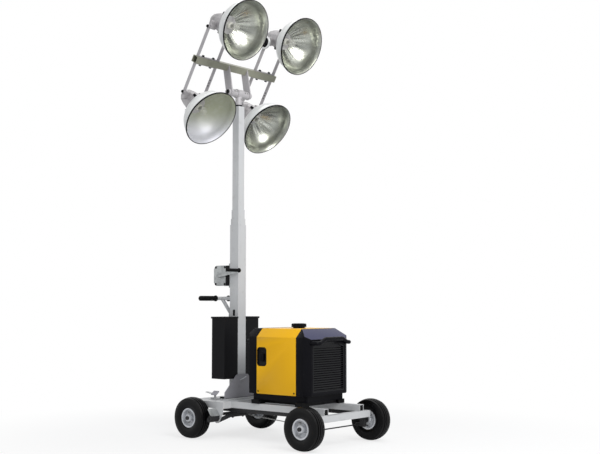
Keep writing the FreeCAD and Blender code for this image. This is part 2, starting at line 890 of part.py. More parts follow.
def head_uprights():
    lean = math.degrees(math.atan2(crossbar_behind, crossbar_above))
    reach = math.hypot(crossbar_behind, crossbar_above)
    half = upright_width / 2
    flat = block(-half, half, upright_inner, upright_inner + upright_thickness, 0, reach)
    round_end = rod(Vector(0, upright_inner, 0), Vector(0, upright_inner + upright_thickness, 0), half)
    bar = fuse([flat, round_end])
    bar = turned(bar, Vector(0, 0, 0), axis_y, -lean).translated(Vector(mast_x, 0, pivot_z))
    bore = rod(Vector(mast_x, -200, pivot_z), Vector(mast_x, 200, pivot_z), pivot_tube_radius)
    bar = bar.cut(bore).cut(crossbar_solid(crossbar_side))
    bar = max(bar.Solids, key=lambda solid: solid.Volume)
    return Part.makeCompound([bar, mirrored(bar)])


def stirrup(side, sign):
    # A bent flat bar: a base bolted to the crossbar and two arms out to the lamp's pivots.
    t = stirrup_thickness
    half_w = stirrup_width / 2
    base_z = crossbar_side / 2
    y = stirrup_half + t / 2
    base = block(-half_w, half_w, -y, y, base_z, base_z + t)
    arm = block(-half_w, half_w, y - t, y, base_z, stirrup_reach)
    tip = rod(Vector(0, y - t, stirrup_reach), Vector(0, y, stirrup_reach), half_w)
    body = fuse([base, arm, tip, mirrored(arm), mirrored(tip)])
    bore = rod(Vector(0, -y - 1, stirrup_reach), Vector(0, y + 1, stirrup_reach),
               lamp_pin_radius + pin_clearance)
    body = body.cut(bore)
    for place in (-stirrup_half / 2, stirrup_half / 2):
        bolt = rod(Vector(0, place, base_z + t), Vector(0, place, base_z + t + 7), stirrup_bolt_radius)
        body = body.fuse(bolt)
    if sign < 0:
        body = turned(body, Vector(0, 0, 0), axis_y, 180)
    body = turned(body, Vector(0, 0, 0), axis_y, crossbar_lean)
    return body.translated(Vector(crossbar_x, side * lamp_spacing / 2, crossbar_z))


def stirrups():
    return Part.makeCompound([stirrup(side, sign) for side in (-1, 1) for sign in (1, -1)])


# Lamps, modelled about the pivot with the beam along +X and the lamp's axis above the pivot
def lamp_housing():
    z = lamp_axis_offset
    joint = lamp_rim_ahead - reflector_depth
    tail = Vector(-housing_tail, 0, z)
    outline = [
        (0, 0),
        (housing_radius - 22, 0),
        (housing_radius - 4, 14),
        (housing_radius, 34),
        (housing_radius, housing_tail + joint - 40),
        (housing_joint_radius, housing_tail + joint - 12),
        (housing_joint_radius, housing_tail + joint),
        (0, housing_tail + joint),
    ]
    shell = spun(outline, tail, axis_x)
    fins = []
    fin_start = -housing_tail + 26
    fin_end = joint - 30
    for index in range(fin_count):
        fin = block(fin_start, fin_end, -fin_thickness / 2, fin_thickness / 2,
                    housing_radius - 4, housing_radius + fin_height)
        fin = turned(fin, Vector(0, 0, 0), axis_x, 360.0 * (index + 0.5) / fin_count)
        fins.append(fin.translated(Vector(0, 0, z)))
    seat = stirrup_half - stirrup_thickness / 2 - face_clearance
    ear = block(-12, 16, housing_radius - 14, seat, -lamp_boss_radius, z)
    boss = rod(Vector(0, housing_radius - 14, 0), Vector(0, seat, 0), lamp_boss_radius)
    outside = stirrup_half + stirrup_thickness / 2 + face_clearance
    pin = rod(Vector(0, seat, 0), Vector(0, outside, 0), lamp_pin_radius)
    knob = rod(Vector(0, outside, 0), Vector(0, outside + 10, 0), lamp_pin_radius + 5)
    side_pieces = [ear, boss, pin, knob]
    both = side_pieces + [mirrored(piece) for piece in side_pieces]
    return fuse([shell] + fins + both)


def reflector():
    # A spun bell with a rolled lip at its mouth.
    z = lamp_axis_offset
    joint = lamp_rim_ahead - reflector_depth
    mouth = lamp_rim_ahead
    w = reflector_wall
    neck = reflector_neck_radius
    wide = lamp_rim_radius - lamp_rim_lip

    def at(x, r):
        return Vector(x, 0, z + r)

    middle_x = joint + reflector_depth * 0.42
    middle_r = neck + (wide - neck) * 0.72
    edges = [
        Part.LineSegment(at(joint, 0), at(joint, neck)).toShape(),
        Part.Arc(at(joint, neck), at(middle_x, middle_r), at(mouth - 6, wide)).toShape(),
        Part.LineSegment(at(mouth - 6, wide), at(mouth - 6, lamp_rim_radius)).toShape(),
        Part.LineSegment(at(mouth - 6, lamp_rim_radius), at(mouth, lamp_rim_radius)).toShape(),
        Part.LineSegment(at(mouth, lamp_rim_radius), at(mouth, wide - w)).toShape(),
        Part.Arc(at(mouth, wide - w), at(middle_x + w, middle_r - w), at(joint + w, neck - w)).toShape(),
        Part.LineSegment(at(joint + w, neck - w), at(joint + w, 0)).toShape(),
        Part.LineSegment(at(joint + w, 0), at(joint, 0)).toShape(),
    ]
    return Part.Face(Part.Wire(edges)).revolve(Vector(0, 0, z), axis_x, 360)


def lamp_lens():
    z = lamp_axis_offset
    x = lamp_rim_ahead
    radius = lamp_rim_radius - 1
    return rod(Vector(x, 0, z), Vector(x + lens_thickness, 0, z), radius)


def placed_lamp(shape, side, sign):
    aim = upper_aim if sign > 0 else lower_aim
    lean = math.radians(crossbar_lean)
    copy = shape.copy()
    if sign < 0:
        copy.rotate(Vector(0, 0, 0), axis_x, 180)
    copy.rotate(Vector(0, 0, 0), axis_y, aim)
    x = crossbar_x + sign * stirrup_reach * math.sin(lean)
    z = crossbar_z + sign * stirrup_reach * math.cos(lean)
    return copy.translated(Vector(x, side * lamp_spacing / 2, z))


def main():
    os.makedirs("parts", exist_ok=True)
    save("frame_rails", frame_rails())
    save("front_cross_tube", front_cross_tube())
    save("kingpin_yokes", kingpin_yokes())
    save("rear_deck", rear_deck())
    save("rear_axle", rear_axle())
    save("brake_bar", brake_bar())
    save("brake_pedal", brake_pedal())
    save("knuckle_left", knuckle_left())
    save("knuckle_right", mirrored(knuckle_left()))
    save("tie_rod", tie_rod())

    Wheel = namedtuple("Wheel", "name x side")
    wheels = [
        Wheel("front_left", axle_x, 1),
        Wheel("front_right", axle_x, -1),
        Wheel("rear_left", -axle_x, 1),
        Wheel("rear_right", -axle_x, -1),
    ]
    for wheel in wheels:
        centre = Vector(wheel.x, wheel.side * wheel_y, hub_z)
        save("tyre_" + wheel.name, tyre(centre))
        save("rim_" + wheel.name, rim(centre, wheel.side))

    save("mast_foot", mast_foot())
    for index in range(4):
        save("mast_section_" + str(index + 1), mast_section(index))
    save("push_handle", push_handle())
    save("handle_grips", handle_grips())
    save("ballast_box_left", ballast_box(1))
    save("ballast_box_right", ballast_box(-1))
    save("ballast_lids", ballast_lids())
    save("winch_frame", winch_frame())
    save("winch_drum", winch_drum())
    save("winch_crank", winch_crank())
    save("crank_grip", crank_grip())

    save("generator_feet", generator_feet())
    save("generator_base", generator_base())
    save("generator_rear_cover", generator_cover(gen_seam_rear, gen_rear))
    save("generator_mid_cover", generator_mid_cover())
    save("generator_front_cover", generator_front_cover())
    save("generator_grille", generator_grille())
    save("generator_handle_front", generator_handle(gen_front, 1))
    save("generator_handle_rear", generator_handle(gen_rear, -1))
    save("fuel_cap", fuel_cap())
    save("engine_block", engine_block())

    save("head_clamp", head_clamp())
    save("pivot_tube", pivot_tube())
    save("head_uprights", head_uprights())
    save("crossbar", crossbar())
    save("stirrups", stirrups())
    for level, sign in (("upper", 1), ("lower", -1)):
        for hand, side in (("left", 1), ("right", -1)):
            name = "lamp_" + level + "_" + hand
            save(name + "_housing", placed_lamp(lamp_housing(), side, sign))
            save(name + "_reflector", placed_lamp(reflector(), side, sign))
            save(name + "_lens", placed_lamp(lamp_lens(), side, sign))


main()
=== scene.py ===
import json
import math
import bmesh
import bpy
import numpy as np
from mathutils import Matrix, Vector


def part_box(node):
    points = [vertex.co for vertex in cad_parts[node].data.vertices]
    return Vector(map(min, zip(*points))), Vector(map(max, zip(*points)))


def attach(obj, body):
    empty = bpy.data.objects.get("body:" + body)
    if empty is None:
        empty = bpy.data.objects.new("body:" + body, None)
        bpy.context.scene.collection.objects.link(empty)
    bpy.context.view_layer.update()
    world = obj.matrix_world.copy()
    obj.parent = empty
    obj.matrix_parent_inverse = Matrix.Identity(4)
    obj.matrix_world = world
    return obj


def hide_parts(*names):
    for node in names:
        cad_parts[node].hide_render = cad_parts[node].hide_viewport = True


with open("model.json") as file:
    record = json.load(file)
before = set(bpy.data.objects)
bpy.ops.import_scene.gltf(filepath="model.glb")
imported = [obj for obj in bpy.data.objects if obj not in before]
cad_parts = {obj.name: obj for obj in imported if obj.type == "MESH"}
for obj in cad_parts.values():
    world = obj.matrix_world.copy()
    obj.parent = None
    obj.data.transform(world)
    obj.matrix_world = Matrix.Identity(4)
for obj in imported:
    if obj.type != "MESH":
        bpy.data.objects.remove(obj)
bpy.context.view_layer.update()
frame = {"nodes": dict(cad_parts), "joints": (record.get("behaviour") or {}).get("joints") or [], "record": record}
nodes = frame["nodes"]
joints = {joint["name"]: joint for joint in frame["joints"]}
print("frame loaded:", len(nodes), "nodes")


# Nodes: one adder that the materials, the world and the fasteners share
def addNode(tree, kind, settings=None, values=None):
    # Settings come first, then the values or links of its sockets
    node = tree.nodes.new(kind)
    for setting, value in (settings or {}).items():
        setattr(node, setting, value)
    for socket, value in (values or {}).items():
        put(tree, value, node.inputs[socket])
    return node


def put(tree, value, socket):
    if isinstance(value, Amount):
        value = value.socket
    if isinstance(value, bpy.types.NodeSocket):
        tree.links.new(value, socket)
    else:
        socket.default_value = value


# Shader maths: a number socket that takes Python operators by adding Math nodes
class Amount:
    def __init__(self, finish, socket):
        self.finish = finish
        self.socket = socket

    def math(self, operation, first, second):
        node = self.finish.add("ShaderNodeMath", {"operation": operation}, {0: first, 1: second})
        return Amount(self.finish, node.outputs[0])

    def __add__(self, other):
        return self.math("ADD", self, other)

    def __mul__(self, other):
        return self.math("MULTIPLY", self, other)

    def __rsub__(self, other):
        return self.math("SUBTRACT", other, self)

    def __pow__(self, other):
        return self.math("POWER", self, other)

    def between(self, low, high):
        # 0 below low, 1 above high and a smooth step between them
        node = self.finish.add("ShaderNodeMapRange", {"interpolation_type": "SMOOTHSTEP"},
                               {"Value": self, "From Min": low, "From Max": high})
        return Amount(self.finish, node.outputs["Result"])


class Finish:
    # One material: a Principled surface and the nodes that pattern it
    def __init__(self, name, colour=(0.5, 0.5, 0.5), roughness=0.5, metallic=0.0, **fixed):
        self.material = bpy.data.materials.new(name)
        self.material.use_nodes = True
        self.tree = self.material.node_tree
        self.tree.nodes.clear()
        output = self.add("ShaderNodeOutputMaterial")
        self.surface = self.add("ShaderNodeBsdfPrincipled", {}, {
            "Base Color": (*colour, 1), "Roughness": roughness, "Metallic": metallic})
        for socket, value in fixed.items():
            self.surface.inputs[socket.replace("_", " ")].default_value = value
        self.tree.links.new(self.surface.outputs[0], output.inputs[0])
        self.places = self.add("ShaderNodeTexCoord")

    def add(self, kind, settings=None, values=None):
        return addNode(self.tree, kind, settings, values)

    def put(self, value, socket):
        put(self.tree, value, socket)

    def place(self, stretch=(1, 1, 1), source="Object"):
        node = self.add("ShaderNodeMapping", {}, {"Vector": self.places.outputs[source], "Scale": stretch})
        return node.outputs[0]

    def axis(self, letter):
        node = self.add("ShaderNodeSeparateXYZ", {}, {"Vector": self.places.outputs["Object"]})
        return Amount(self, node.outputs[letter])

    def noise(self, scale, detail=3.0, stretch=(1, 1, 1), source="Object", roughness=0.55):
        node = self.add("ShaderNodeTexNoise", {}, {
            "Vector": self.place(stretch, source), "Scale": scale, "Detail": detail, "Roughness": roughness})
        return Amount(self, node.outputs[0])

    def mix(self, factor, first, second):
        node = self.add("ShaderNodeMix", {"data_type": "RGBA"})
        self.put(factor, node.inputs["Factor"])
        for value, socket in ((first, node.inputs[6]), (second, node.inputs[7])):
            self.put((*value, 1) if isinstance(value, tuple) and len(value) == 3 else value, socket)
        return node.outputs[2]

    def colour(self, value):
        self.put(value, self.surface.inputs["Base Color"])

    def rough(self, value):
        self.put(value, self.surface.inputs["Roughness"])

    def bump(self, height, strength=0.3, distance=0.001):
        node = self.add("ShaderNodeBump", {}, {"Height": height, "Strength": strength, "Distance": distance})
        self.put(node.outputs[0], self.surface.inputs["Normal"])


def tone(red, green, blue):
    # An 8-bit screen colour as the linear values that nodes take
    shares = [value / 255 for value in (red, green, blue)]
    return tuple(s / 12.92 if s < 0.0404 else ((s + 0.055) / 1.055) ** 2.4 for s in shares)


# Finishes
def satinPaint(name, colour, dirt, roughness=0.38, dirtAmount=0.5, shine=0.35):
    # Paint on steel: orange peel, faint clouding, dust that gathers in patches and fine rubbed scratches
    f = Finish(name, colour, roughness, Specular_IOR_Level=shine)
    cloud = f.noise(5, 3)
    patches = f.noise(22, 5, roughness=0.7).between(0.52, 0.8) * dirtAmount
    scratch = f.noise(160, 2, stretch=(1, 1, 0.06)).between(0.69, 0.74) * 0.35
    shade = f.mix(cloud.between(0.3, 0.7) * 0.12, colour, tuple(c * 0.8 for c in colour))
    shade = f.mix(patches, shade, dirt)
    f.colour(f.mix(scratch, shade, tuple(min(1, c * 1.25) for c in colour)))
    f.rough(cloud * 0.12 + patches * 0.25 + (roughness - 0.06))
    f.bump(f.noise(420, 2) * 0.6 + f.noise(60, 2) * 0.4, 0.12, 0.0006)
    return f.material


def galvanised():
    # Zinc plate with faint grey spangles
    f = Finish("galvanisedSteel", tone(165, 168, 168), 0.42, 0.6)
    cloud = f.noise(18, 3)
    grain = f.noise(110, 4, roughness=0.75)
    base = f.mix(cloud.between(0.35, 0.7), tone(186, 189, 189), tone(150, 153, 154))
    f.colour(f.mix(grain.between(0.45, 0.62) * 0.3, base, tone(118, 121, 123)))
    f.rough(cloud * 0.2 + 0.3)
    f.bump(f.noise(300, 2), 0.1, 0.0005)
    return f.material


def mouldedPlastic(name, colour, roughness, grain=900.0, depth=0.22, cloudiness=0.12, shine=0.14):
    # Moulded plastic: a fine leathery grain, a little handling shine and dust
    f = Finish(name, colour, roughness, Specular_IOR_Level=shine)
    cloud = f.noise(7, 4)
    dust = f.noise(35, 5, roughness=0.7).between(0.6, 0.88) * 0.07
    lighter = tuple(min(1, c * 1.4 + 0.004) for c in colour)
    shade = f.mix(cloud.between(0.3, 0.7) * cloudiness, colour, lighter)
    f.colour(f.mix(dust, shade, tone(120, 116, 108)))
    f.rough(cloud * 0.14 + dust * 0.4 + (roughness - 0.07))
    f.bump(f.noise(grain, 2), depth, 0.0006)
    return f.material


def rubber(name, colour, roughness=0.62, shine=0.12, dusty=0.1):
    # Black rubber: dusty in the hollows, faintly mottled
    f = Finish(name, colour, roughness, Specular_IOR_Level=shine)
    cloud = f.noise(14, 4)
    dust = f.noise(70, 5, roughness=0.75).between(0.55, 0.9) * dusty
    shade = f.mix(cloud.between(0.3, 0.75) * 0.4, colour, tuple(c * 1.8 + 0.002 for c in colour))
    f.colour(f.mix(dust, shade, tone(58, 55, 51)))
    f.rough(dust * 0.5 + cloud * 0.12 + (roughness - 0.06))
    f.bump(f.noise(700, 3), 0.2, 0.0006)
    return f.material


def castGrey():
    # Painted aluminium casting with a pebbled skin
    f = Finish("castHousing", tone(170, 167, 168), 0.42, 0.1)
    cloud = f.noise(16, 4)
    grime = f.noise(40, 5, roughness=0.7).between(0.5, 0.8) * 0.55
    shade = f.mix(cloud.between(0.3, 0.7), tone(158, 155, 156), tone(190, 187, 188))
    f.colour(f.mix(grime, shade, tone(96, 92, 94)))
    f.rough(grime * 0.3 + 0.36)
    f.bump(f.noise(380, 3) * 0.7 + f.noise(150, 4) * 0.5, 0.2, 0.0007)
    return f.material


def spunOutside():
    # White satin bell: fine turning rings and a faint darker mottling
    f = Finish("spunOutside", tone(226, 227, 225), 0.3, 0.12)
    rings = f.noise(240, 2, stretch=(0.02, 1, 1), source="UV")
    cloud = f.noise(9, 4)
    shade = f.mix(cloud.between(0.35, 0.75) * 0.6, tone(234, 235, 233), tone(206, 208, 208))
    f.colour(f.mix(rings.between(0.5, 0.8) * 0.22, shade, tone(168, 170, 172)))
    f.rough(cloud * 0.16 + rings * 0.08 + 0.2)
    f.bump(rings, 0.1, 0.0004)
    return f.material


def polishedInside():
    # Anodised bowl: soft brushing, dark radial ridges that fade out from the neck, and painted shade that darkens
    # it towards the mouth
    f = Finish("polishedInside", tone(186, 188, 178), 0.28, 1.0)
    depth = Amount(f, f.add("ShaderNodeAttribute", {"attribute_name": "fromNeck"}).outputs["Fac"])
    rings = f.noise(60, 3, stretch=(0.05, 1, 1), source="UV")
    streaks = f.noise(46, 4, stretch=(1, 0.03, 1), source="UV")
    soft = f.noise(9, 3, stretch=(1, 0.2, 1), source="UV")
    ridges = (1 - depth.between(0.1, 0.62)) * streaks.between(0.46, 0.56)
    shade = f.mix(soft.between(0.35, 0.65), tone(198, 200, 192), tone(160, 162, 150))
    # Darker towards the mouth: painted shade
    shade = f.mix(depth.between(0.2, 0.95) * 0.35, shade, tone(140, 142, 130))
    f.colour(f.mix(ridges * 0.8, shade, tone(58, 58, 50)))
    f.rough(streaks * 0.1 + depth * 0.08 + 0.2)
    f.bump(rings * 0.4 + streaks * (1.2 - depth), 0.35, 0.0012)
    return f.material


def mattInside():
    # A bowl gone dull: darker olive above as painted shade and lighter lavender grey below as painted light, with
    # a chalky bloom
    f = Finish("mattInside", tone(170, 172, 164), 0.45, 0.3, Specular_IOR_Level=0.3)
    height = f.axis("Z").between(1.96, 2.16)
    cloud = f.noise(12, 4)
    bloom = f.noise(45, 5, roughness=0.7).between(0.45, 0.8) * 0.3
    # Lighter below and darker above: painted light and painted shade
    shade = f.mix(height, tone(204, 204, 212), tone(160, 164, 138))
    f.colour(f.mix(bloom, shade, tone(222, 222, 216)))
    f.rough(cloud * 0.2 + 0.36)
    f.bump(f.noise(90, 3, stretch=(0.05, 1, 1), source="UV"), 0.2, 0.0008)
    return f.material


def lensGlass(name):
    # Tempered lens glass: clear, with a very faint dust
    f = Finish(name, tone(236, 240, 236), 0.05)
    dust = f.noise(26, 5, roughness=0.7).between(0.45, 0.9)
    f.put(dust * 0.05 + 0.03, f.surface.inputs["Alpha"])
    f.rough(dust * 0.2 + 0.03)
    return f.material


def plainSteel(name, colour, roughness=0.35):
    # Zinc plated fasteners and shafts
    f = Finish(name, colour, roughness, 0.85)
    cloud = f.noise(120, 4)
    f.colour(f.mix(cloud.between(0.4, 0.75) * 0.6, colour, tuple(c * 0.55 for c in colour)))
    f.rough(cloud * 0.2 + (roughness - 0.1))
    f.bump(f.noise(900, 2), 0.08, 0.0003)
    return f.material


finishes = {
    "framePaint": satinPaint("framePaint", tone(197, 198, 199), tone(142, 140, 138), dirtAmount=0.3),
    # On the gusset this darker grey is painted shade; the pedal plate shares it
    "gussetShadePaint": satinPaint("gussetShadePaint", tone(157, 156, 162), tone(104, 102, 100), 0.45, 0.4),
    "darkSteel": satinPaint("darkSteel", tone(34, 34, 36), tone(84, 78, 72), 0.5, 0.4),
    "pedalSteel": satinPaint("pedalSteel", tone(168, 169, 170), tone(96, 92, 88), 0.42, 0.5),
    "galvanised": galvanised(),
    "headPaint": satinPaint("headPaint", tone(182, 179, 181), tone(122, 118, 114), 0.36, 0.4),
    "barPaint": satinPaint("barPaint", tone(146, 146, 130), tone(104, 102, 86), 0.4, 0.4),
    "blackPaint": satinPaint("blackPaint", tone(11, 11, 14), tone(44, 43, 44), 0.4, 0.08, 0.12),
    "housingBlack": mouldedPlastic("housingBlack", tone(7, 7, 12), 0.34, shine=0.08),
    "slopeBlue": mouldedPlastic("slopeBlue", tone(66, 67, 92), 0.3),
    "panelYellow": mouldedPlastic("panelYellow", tone(236, 178, 24), 0.3, 700.0, 0.12, 0.03),
    "grilleGloss": mouldedPlastic("grilleGloss", tone(4, 4, 8), 0.2, 900.0, 0.08, 0.05, 0.3),
    "rubber": rubber("blackRubber", tone(7, 7, 8)),
    "tyreRubber": rubber("tyreRubber", tone(3, 3, 4), 0.4, 0.15, 0.06),
    "rimPaint": satinPaint("rimPaint", tone(206, 208, 212), tone(96, 94, 92), 0.28, 0.5, 0.6),
    "castHousing": castGrey(),
    "spunOutside": spunOutside(),
    "polishedInside": polishedInside(),
    "mattInside": mattInside(),
    "lensClear": lensGlass("lensClear"),
    "zincSteel": plainSteel("zincSteel", tone(190, 190, 188)),
    "blackSteel": plainSteel("blackSteel", tone(24, 24, 26), 0.45),
}
slotFinish = {
    "frame_paint": "framePaint",
    "axle_steel": "darkSteel",
    "pedal_steel": "pedalSteel",
    "galvanised_steel": "galvanised",
    "head_paint": "headPaint",
    "black_grip": "rubber",
    "box_black": "blackPaint",
    "housing_black": "housingBlack",
    "panel_yellow": "panelYellow",
    "foot_rubber": "rubber",
    "engine_iron": "darkSteel",
    "tyre": "tyreRubber",
    "rim_silver": "rimPaint",
    "cast_housing": "castHousing",
    "spun_aluminium": "spunOutside",
    "lens_glass": "lensClear",
}
nodeSlot = {part["node"]: part["material_slot"] for part in frame["record"]["subparts"]}


def dressNodes():
    # Every carried-over CAD node takes the finish of its slot
    for name, item in nodes.items():
        material = finishes[slotFinish[nodeSlot[name]]]
        if not item.material_slots:
            item.data.materials.append(material)
        for place in item.material_slots:
            place.material = material
    nodes["crossbar"].material_slots[0].material = finishes["barPaint"]
    nodes["generator_grille"].material_slots[0].material = finishes["grilleGloss"]


dressNodes()
print("finishes made:", len(finishes))


# Mesh helpers
hands = (("left", 1), ("right", -1))


def span(sign, inner, outer):
    # The lower and the upper Y of a form on one side
    return sorted((sign * inner, sign * outer))


def linked(name, data):
    item = bpy.data.objects.new(name, data)
    bpy.context.scene.collection.objects.link(item)
    return item


def settled(item):
    # The object's mesh with its modifiers worked in
    graph = bpy.context.evaluated_depsgraph_get()
    return bpy.data.meshes.new_from_object(item.evaluated_get(graph))


def newPiece(name, mesh, materials, body, smooth=35.0):
    item = linked(name, mesh)
    for material in materials:
        mesh.materials.append(finishes[material])
    mesh.shade_smooth()
    mesh.set_sharp_from_angle(angle=math.radians(smooth))
    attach(item, body)
    return item


def axisFrame(origin, forward, side):
    # A placing matrix: local X along forward, local Y as near side as it can be
    x = Vector(forward).normalized()
    z = x.cross(Vector(side)).normalized()
    y = z.cross(x)
    return Matrix.Translation(Vector(origin)) @ Matrix((x, y, z)).transposed().to_4x4()


def lathe(outline, steps, placing, bands=None):
    # Revolves (along, radius) points about local X. A closed outline gives a solid wall.
    # UV u goes round and v along the outline. bands gives each outline edge its material index.
    bm = bmesh.new()
    uv = bm.loops.layers.uv.new("UVMap")
    closed = outline[0] == outline[-1]
    ring = outline[:-1] if closed else outline
    lengths = [0.0]
    for a, b in zip(outline, outline[1:]):
        lengths.append(lengths[-1] + math.dist(a, b))
    rows = []
    for step in range(steps):
        angle = 2 * math.pi * step / steps
        rows.append([bm.verts.new((a, r * math.cos(angle), r * math.sin(angle))) for a, r in ring])
    edges = len(outline) - 1
    for step in range(steps):
        here, there = rows[step], rows[(step + 1) % steps]
        for index in range(edges):
            following = (index + 1) % len(ring)
            corners = [here[index], here[following], there[following], there[index]]
            if ring[index][1] < 1e-9 and ring[following][1] < 1e-9:
                continue
            face = bm.faces.new(corners)
            if bands:
                face.material_index = bands[index]
            u0, u1 = step / steps, (step + 1) / steps
            v0, v1 = lengths[index], lengths[index + 1]
            spots = [(u0, v0), (u0, v1), (u1, v1), (u1, v0)]
            for loop, spot in zip(face.loops, spots):
                loop[uv].uv = spot
    bmesh.ops.remove_doubles(bm, verts=bm.verts, dist=1e-7)
    bmesh.ops.dissolve_degenerate(bm, dist=1e-8, edges=bm.edges)
    bmesh.ops.recalc_face_normals(bm, faces=bm.faces)
    bmesh.ops.transform(bm, matrix=placing, verts=bm.verts)
    mesh = bpy.data.meshes.new("lathe")
    bm.to_mesh(mesh)
    bm.free()
    return mesh


def cutBlock(low, high, planes=()):
    # A block with corners cut off by planes, each a point and an outward facing
    bm = bmesh.new()
    bmesh.ops.create_cube(bm, size=1.0)
    for vert in bm.verts:
        vert.co = Vector([l + (c + 0.5) * (h - l) for c, l, h in zip(vert.co, low, high)])
    for point, facing in planes:
        everything = bm.verts[:] + bm.edges[:] + bm.faces[:]
        cut = bmesh.ops.bisect_plane(bm, geom=everything, plane_co=point, plane_no=facing, clear_outer=True)
        rim = [part for part in cut["geom_cut"] if isinstance(part, bmesh.types.BMEdge)]
        bmesh.ops.edgenet_fill(bm, edges=rim)
    bmesh.ops.recalc_face_normals(bm, faces=bm.faces)
    return bm


def roundedBlock(low, high, axis, radius):
    # A block whose edges along one axis are rounded
    bm = cutBlock(low, high)
    others = [index for index in range(3) if index != axis]
    edges = [edge for edge in bm.edges
             if all(abs(edge.verts[0].co[i] - edge.verts[1].co[i]) < 1e-6 for i in others)]
    bmesh.ops.bevel(bm, geom=edges, offset=radius, segments=5, profile=0.5, affect="EDGES")
    bmesh.ops.recalc_face_normals(bm, faces=bm.faces)
    return bm


def prismAlong(points, depth):
    # A flat outline of (x, y, z) points pushed along a vector
    bm = bmesh.new()
    face = bm.faces.new([bm.verts.new(point) for point in points])
    pushed = bmesh.ops.extrude_face_region(bm, geom=[face])
    moved = [part for part in pushed["geom"] if isinstance(part, bmesh.types.BMVert)]
    bmesh.ops.translate(bm, vec=depth, verts=moved)
    bmesh.ops.recalc_face_normals(bm, faces=bm.faces)
    return bm


def softened(bm, width, segments=2):
    # Rounds every edge by one small width
    bmesh.ops.bevel(bm, geom=bm.edges[:], offset=width, segments=segments, affect="EDGES")
    return bm


def swung(bm, degrees, axis, shift):
    # Turns a form about an axis through the origin, then moves it
    bmesh.ops.transform(bm, matrix=Matrix.Rotation(math.radians(degrees), 4, axis), verts=bm.verts)
    bmesh.ops.translate(bm, vec=shift, verts=bm.verts)
    return bm


def meshFrom(bm):
    mesh = bpy.data.meshes.new("solid")
    bm.to_mesh(mesh)
    bm.free()
    return mesh


def shaped(bm, bevel, cutters=(), segments=3):
    # Cuts the cutters away, rounds the sharp edges and keeps the result as a plain mesh
    holder = linked("holder", meshFrom(bm))
    tools = []
    for cutter in cutters:
        tool = linked("tool", meshFrom(cutter))
        cut = holder.modifiers.new("cut", "BOOLEAN")
        cut.operation = "DIFFERENCE"
        cut.solver = "EXACT"
        cut.object = tool
        tools.append(tool)
    soft = holder.modifiers.new("soft", "BEVEL")
    soft.width = bevel
    soft.segments = segments
    soft.limit_method = "ANGLE"
    soft.angle_limit = math.radians(25)
    mesh = settled(holder)
    for item in tools + [holder]:
        old = item.data
        bpy.data.objects.remove(item)
        bpy.data.meshes.remove(old)
    return mesh


def tube(name, points, radius, finish, body, order=3):
    # A round bar along a smooth NURBS route
    curve = bpy.data.curves.new(name + "Route", "CURVE")
    curve.dimensions = "3D"
    spline = curve.splines.new("NURBS")
    spline.points.add(len(points) - 1)
    for knot, point in zip(spline.points, points):
        knot.co = (*point, 1)
    spline.order_u = order
    spline.use_endpoint_u = True
    spline.resolution_u = 6
    curve.bevel_depth = radius
    curve.bevel_resolution = 5
    curve.use_fill_caps = True
    holder = linked("holder", curve)
    mesh = settled(holder)
    bpy.data.objects.remove(holder)
    bpy.data.curves.remove(curve)
    return newPiece(name, mesh, [finish], body, 40)


# Geometry Nodes: fasteners on a list of places
def fastenerTree(head):
    # A washer and a head on every point, turned to the point's facing
    tree = bpy.data.node_groups.new("fasteners", "GeometryNodeTree")
    face = tree.interface
    face.new_socket("Geometry", in_out="INPUT", socket_type="NodeSocketGeometry")
    for name in ("headRadius", "headHeight", "washerRadius", "washerHeight"):
        face.new_socket(name, in_out="INPUT", socket_type="NodeSocketFloat")
    face.new_socket("finish", in_out="INPUT", socket_type="NodeSocketMaterial")
    face.new_socket("Geometry", in_out="OUTPUT", socket_type="NodeSocketGeometry")
    given = addNode(tree, "NodeGroupInput").outputs

    def solid(sides, radius, height, lift):
        # A cylinder that stands at the height of lift
        body = addNode(tree, "GeometryNodeMeshCylinder", {}, {
            "Vertices": sides, "Radius": given[radius], "Depth": given[height]})
        half = addNode(tree, "ShaderNodeMath", {"operation": "MULTIPLY"}, {0: given[height], 1: 0.5})
        total = addNode(tree, "ShaderNodeMath", {"operation": "ADD"}, {0: half.outputs[0], 1: lift})
        offset = addNode(tree, "ShaderNodeCombineXYZ", {}, {"Z": total.outputs[0]})
        move = addNode(tree, "GeometryNodeTransform", {}, {
            "Geometry": body.outputs["Mesh"], "Translation": offset.outputs[0]})
        return move.outputs[0]

    join = addNode(tree, "GeometryNodeJoinGeometry")
    for part in (solid(24, "washerRadius", "washerHeight", 0.0),
                 solid(head, "headRadius", "headHeight", given["washerHeight"])):
        tree.links.new(part, join.inputs[0])
    facing = addNode(tree, "GeometryNodeInputNamedAttribute", {"data_type": "FLOAT_VECTOR"}, {"Name": "facing"})
    turn = addNode(tree, "FunctionNodeAlignRotationToVector", {"axis": "Z"}, {
        "Vector": facing.outputs["Attribute"]})
    spread = addNode(tree, "GeometryNodeInstanceOnPoints", {}, {
        "Points": given["Geometry"], "Instance": join.outputs[0], "Rotation": turn.outputs[0]})
    real = addNode(tree, "GeometryNodeRealizeInstances", {}, {0: spread.outputs[0]})
    coat = addNode(tree, "GeometryNodeSetMaterial", {}, {
        "Geometry": real.outputs[0], "Material": given["finish"]})
    addNode(tree, "NodeGroupOutput", {}, {0: coat.outputs[0]})
    return tree


hexTree = fastenerTree(6)
roundTree = fastenerTree(20)


def applied(item, tree, values):
    # Runs a Geometry Nodes tree on an object and keeps the result as a plain mesh
    modifier = item.modifiers.new("grow", "NODES")
    modifier.node_group = tree
    for socket in tree.interface.items_tree:
        if socket.item_type == "SOCKET" and socket.in_out == "INPUT" and socket.name in values:
            modifier[socket.identifier] = values[socket.name]
    mesh = settled(item)
    item.modifiers.remove(modifier)
    old = item.data
    item.data = mesh
    bpy.data.meshes.remove(old)


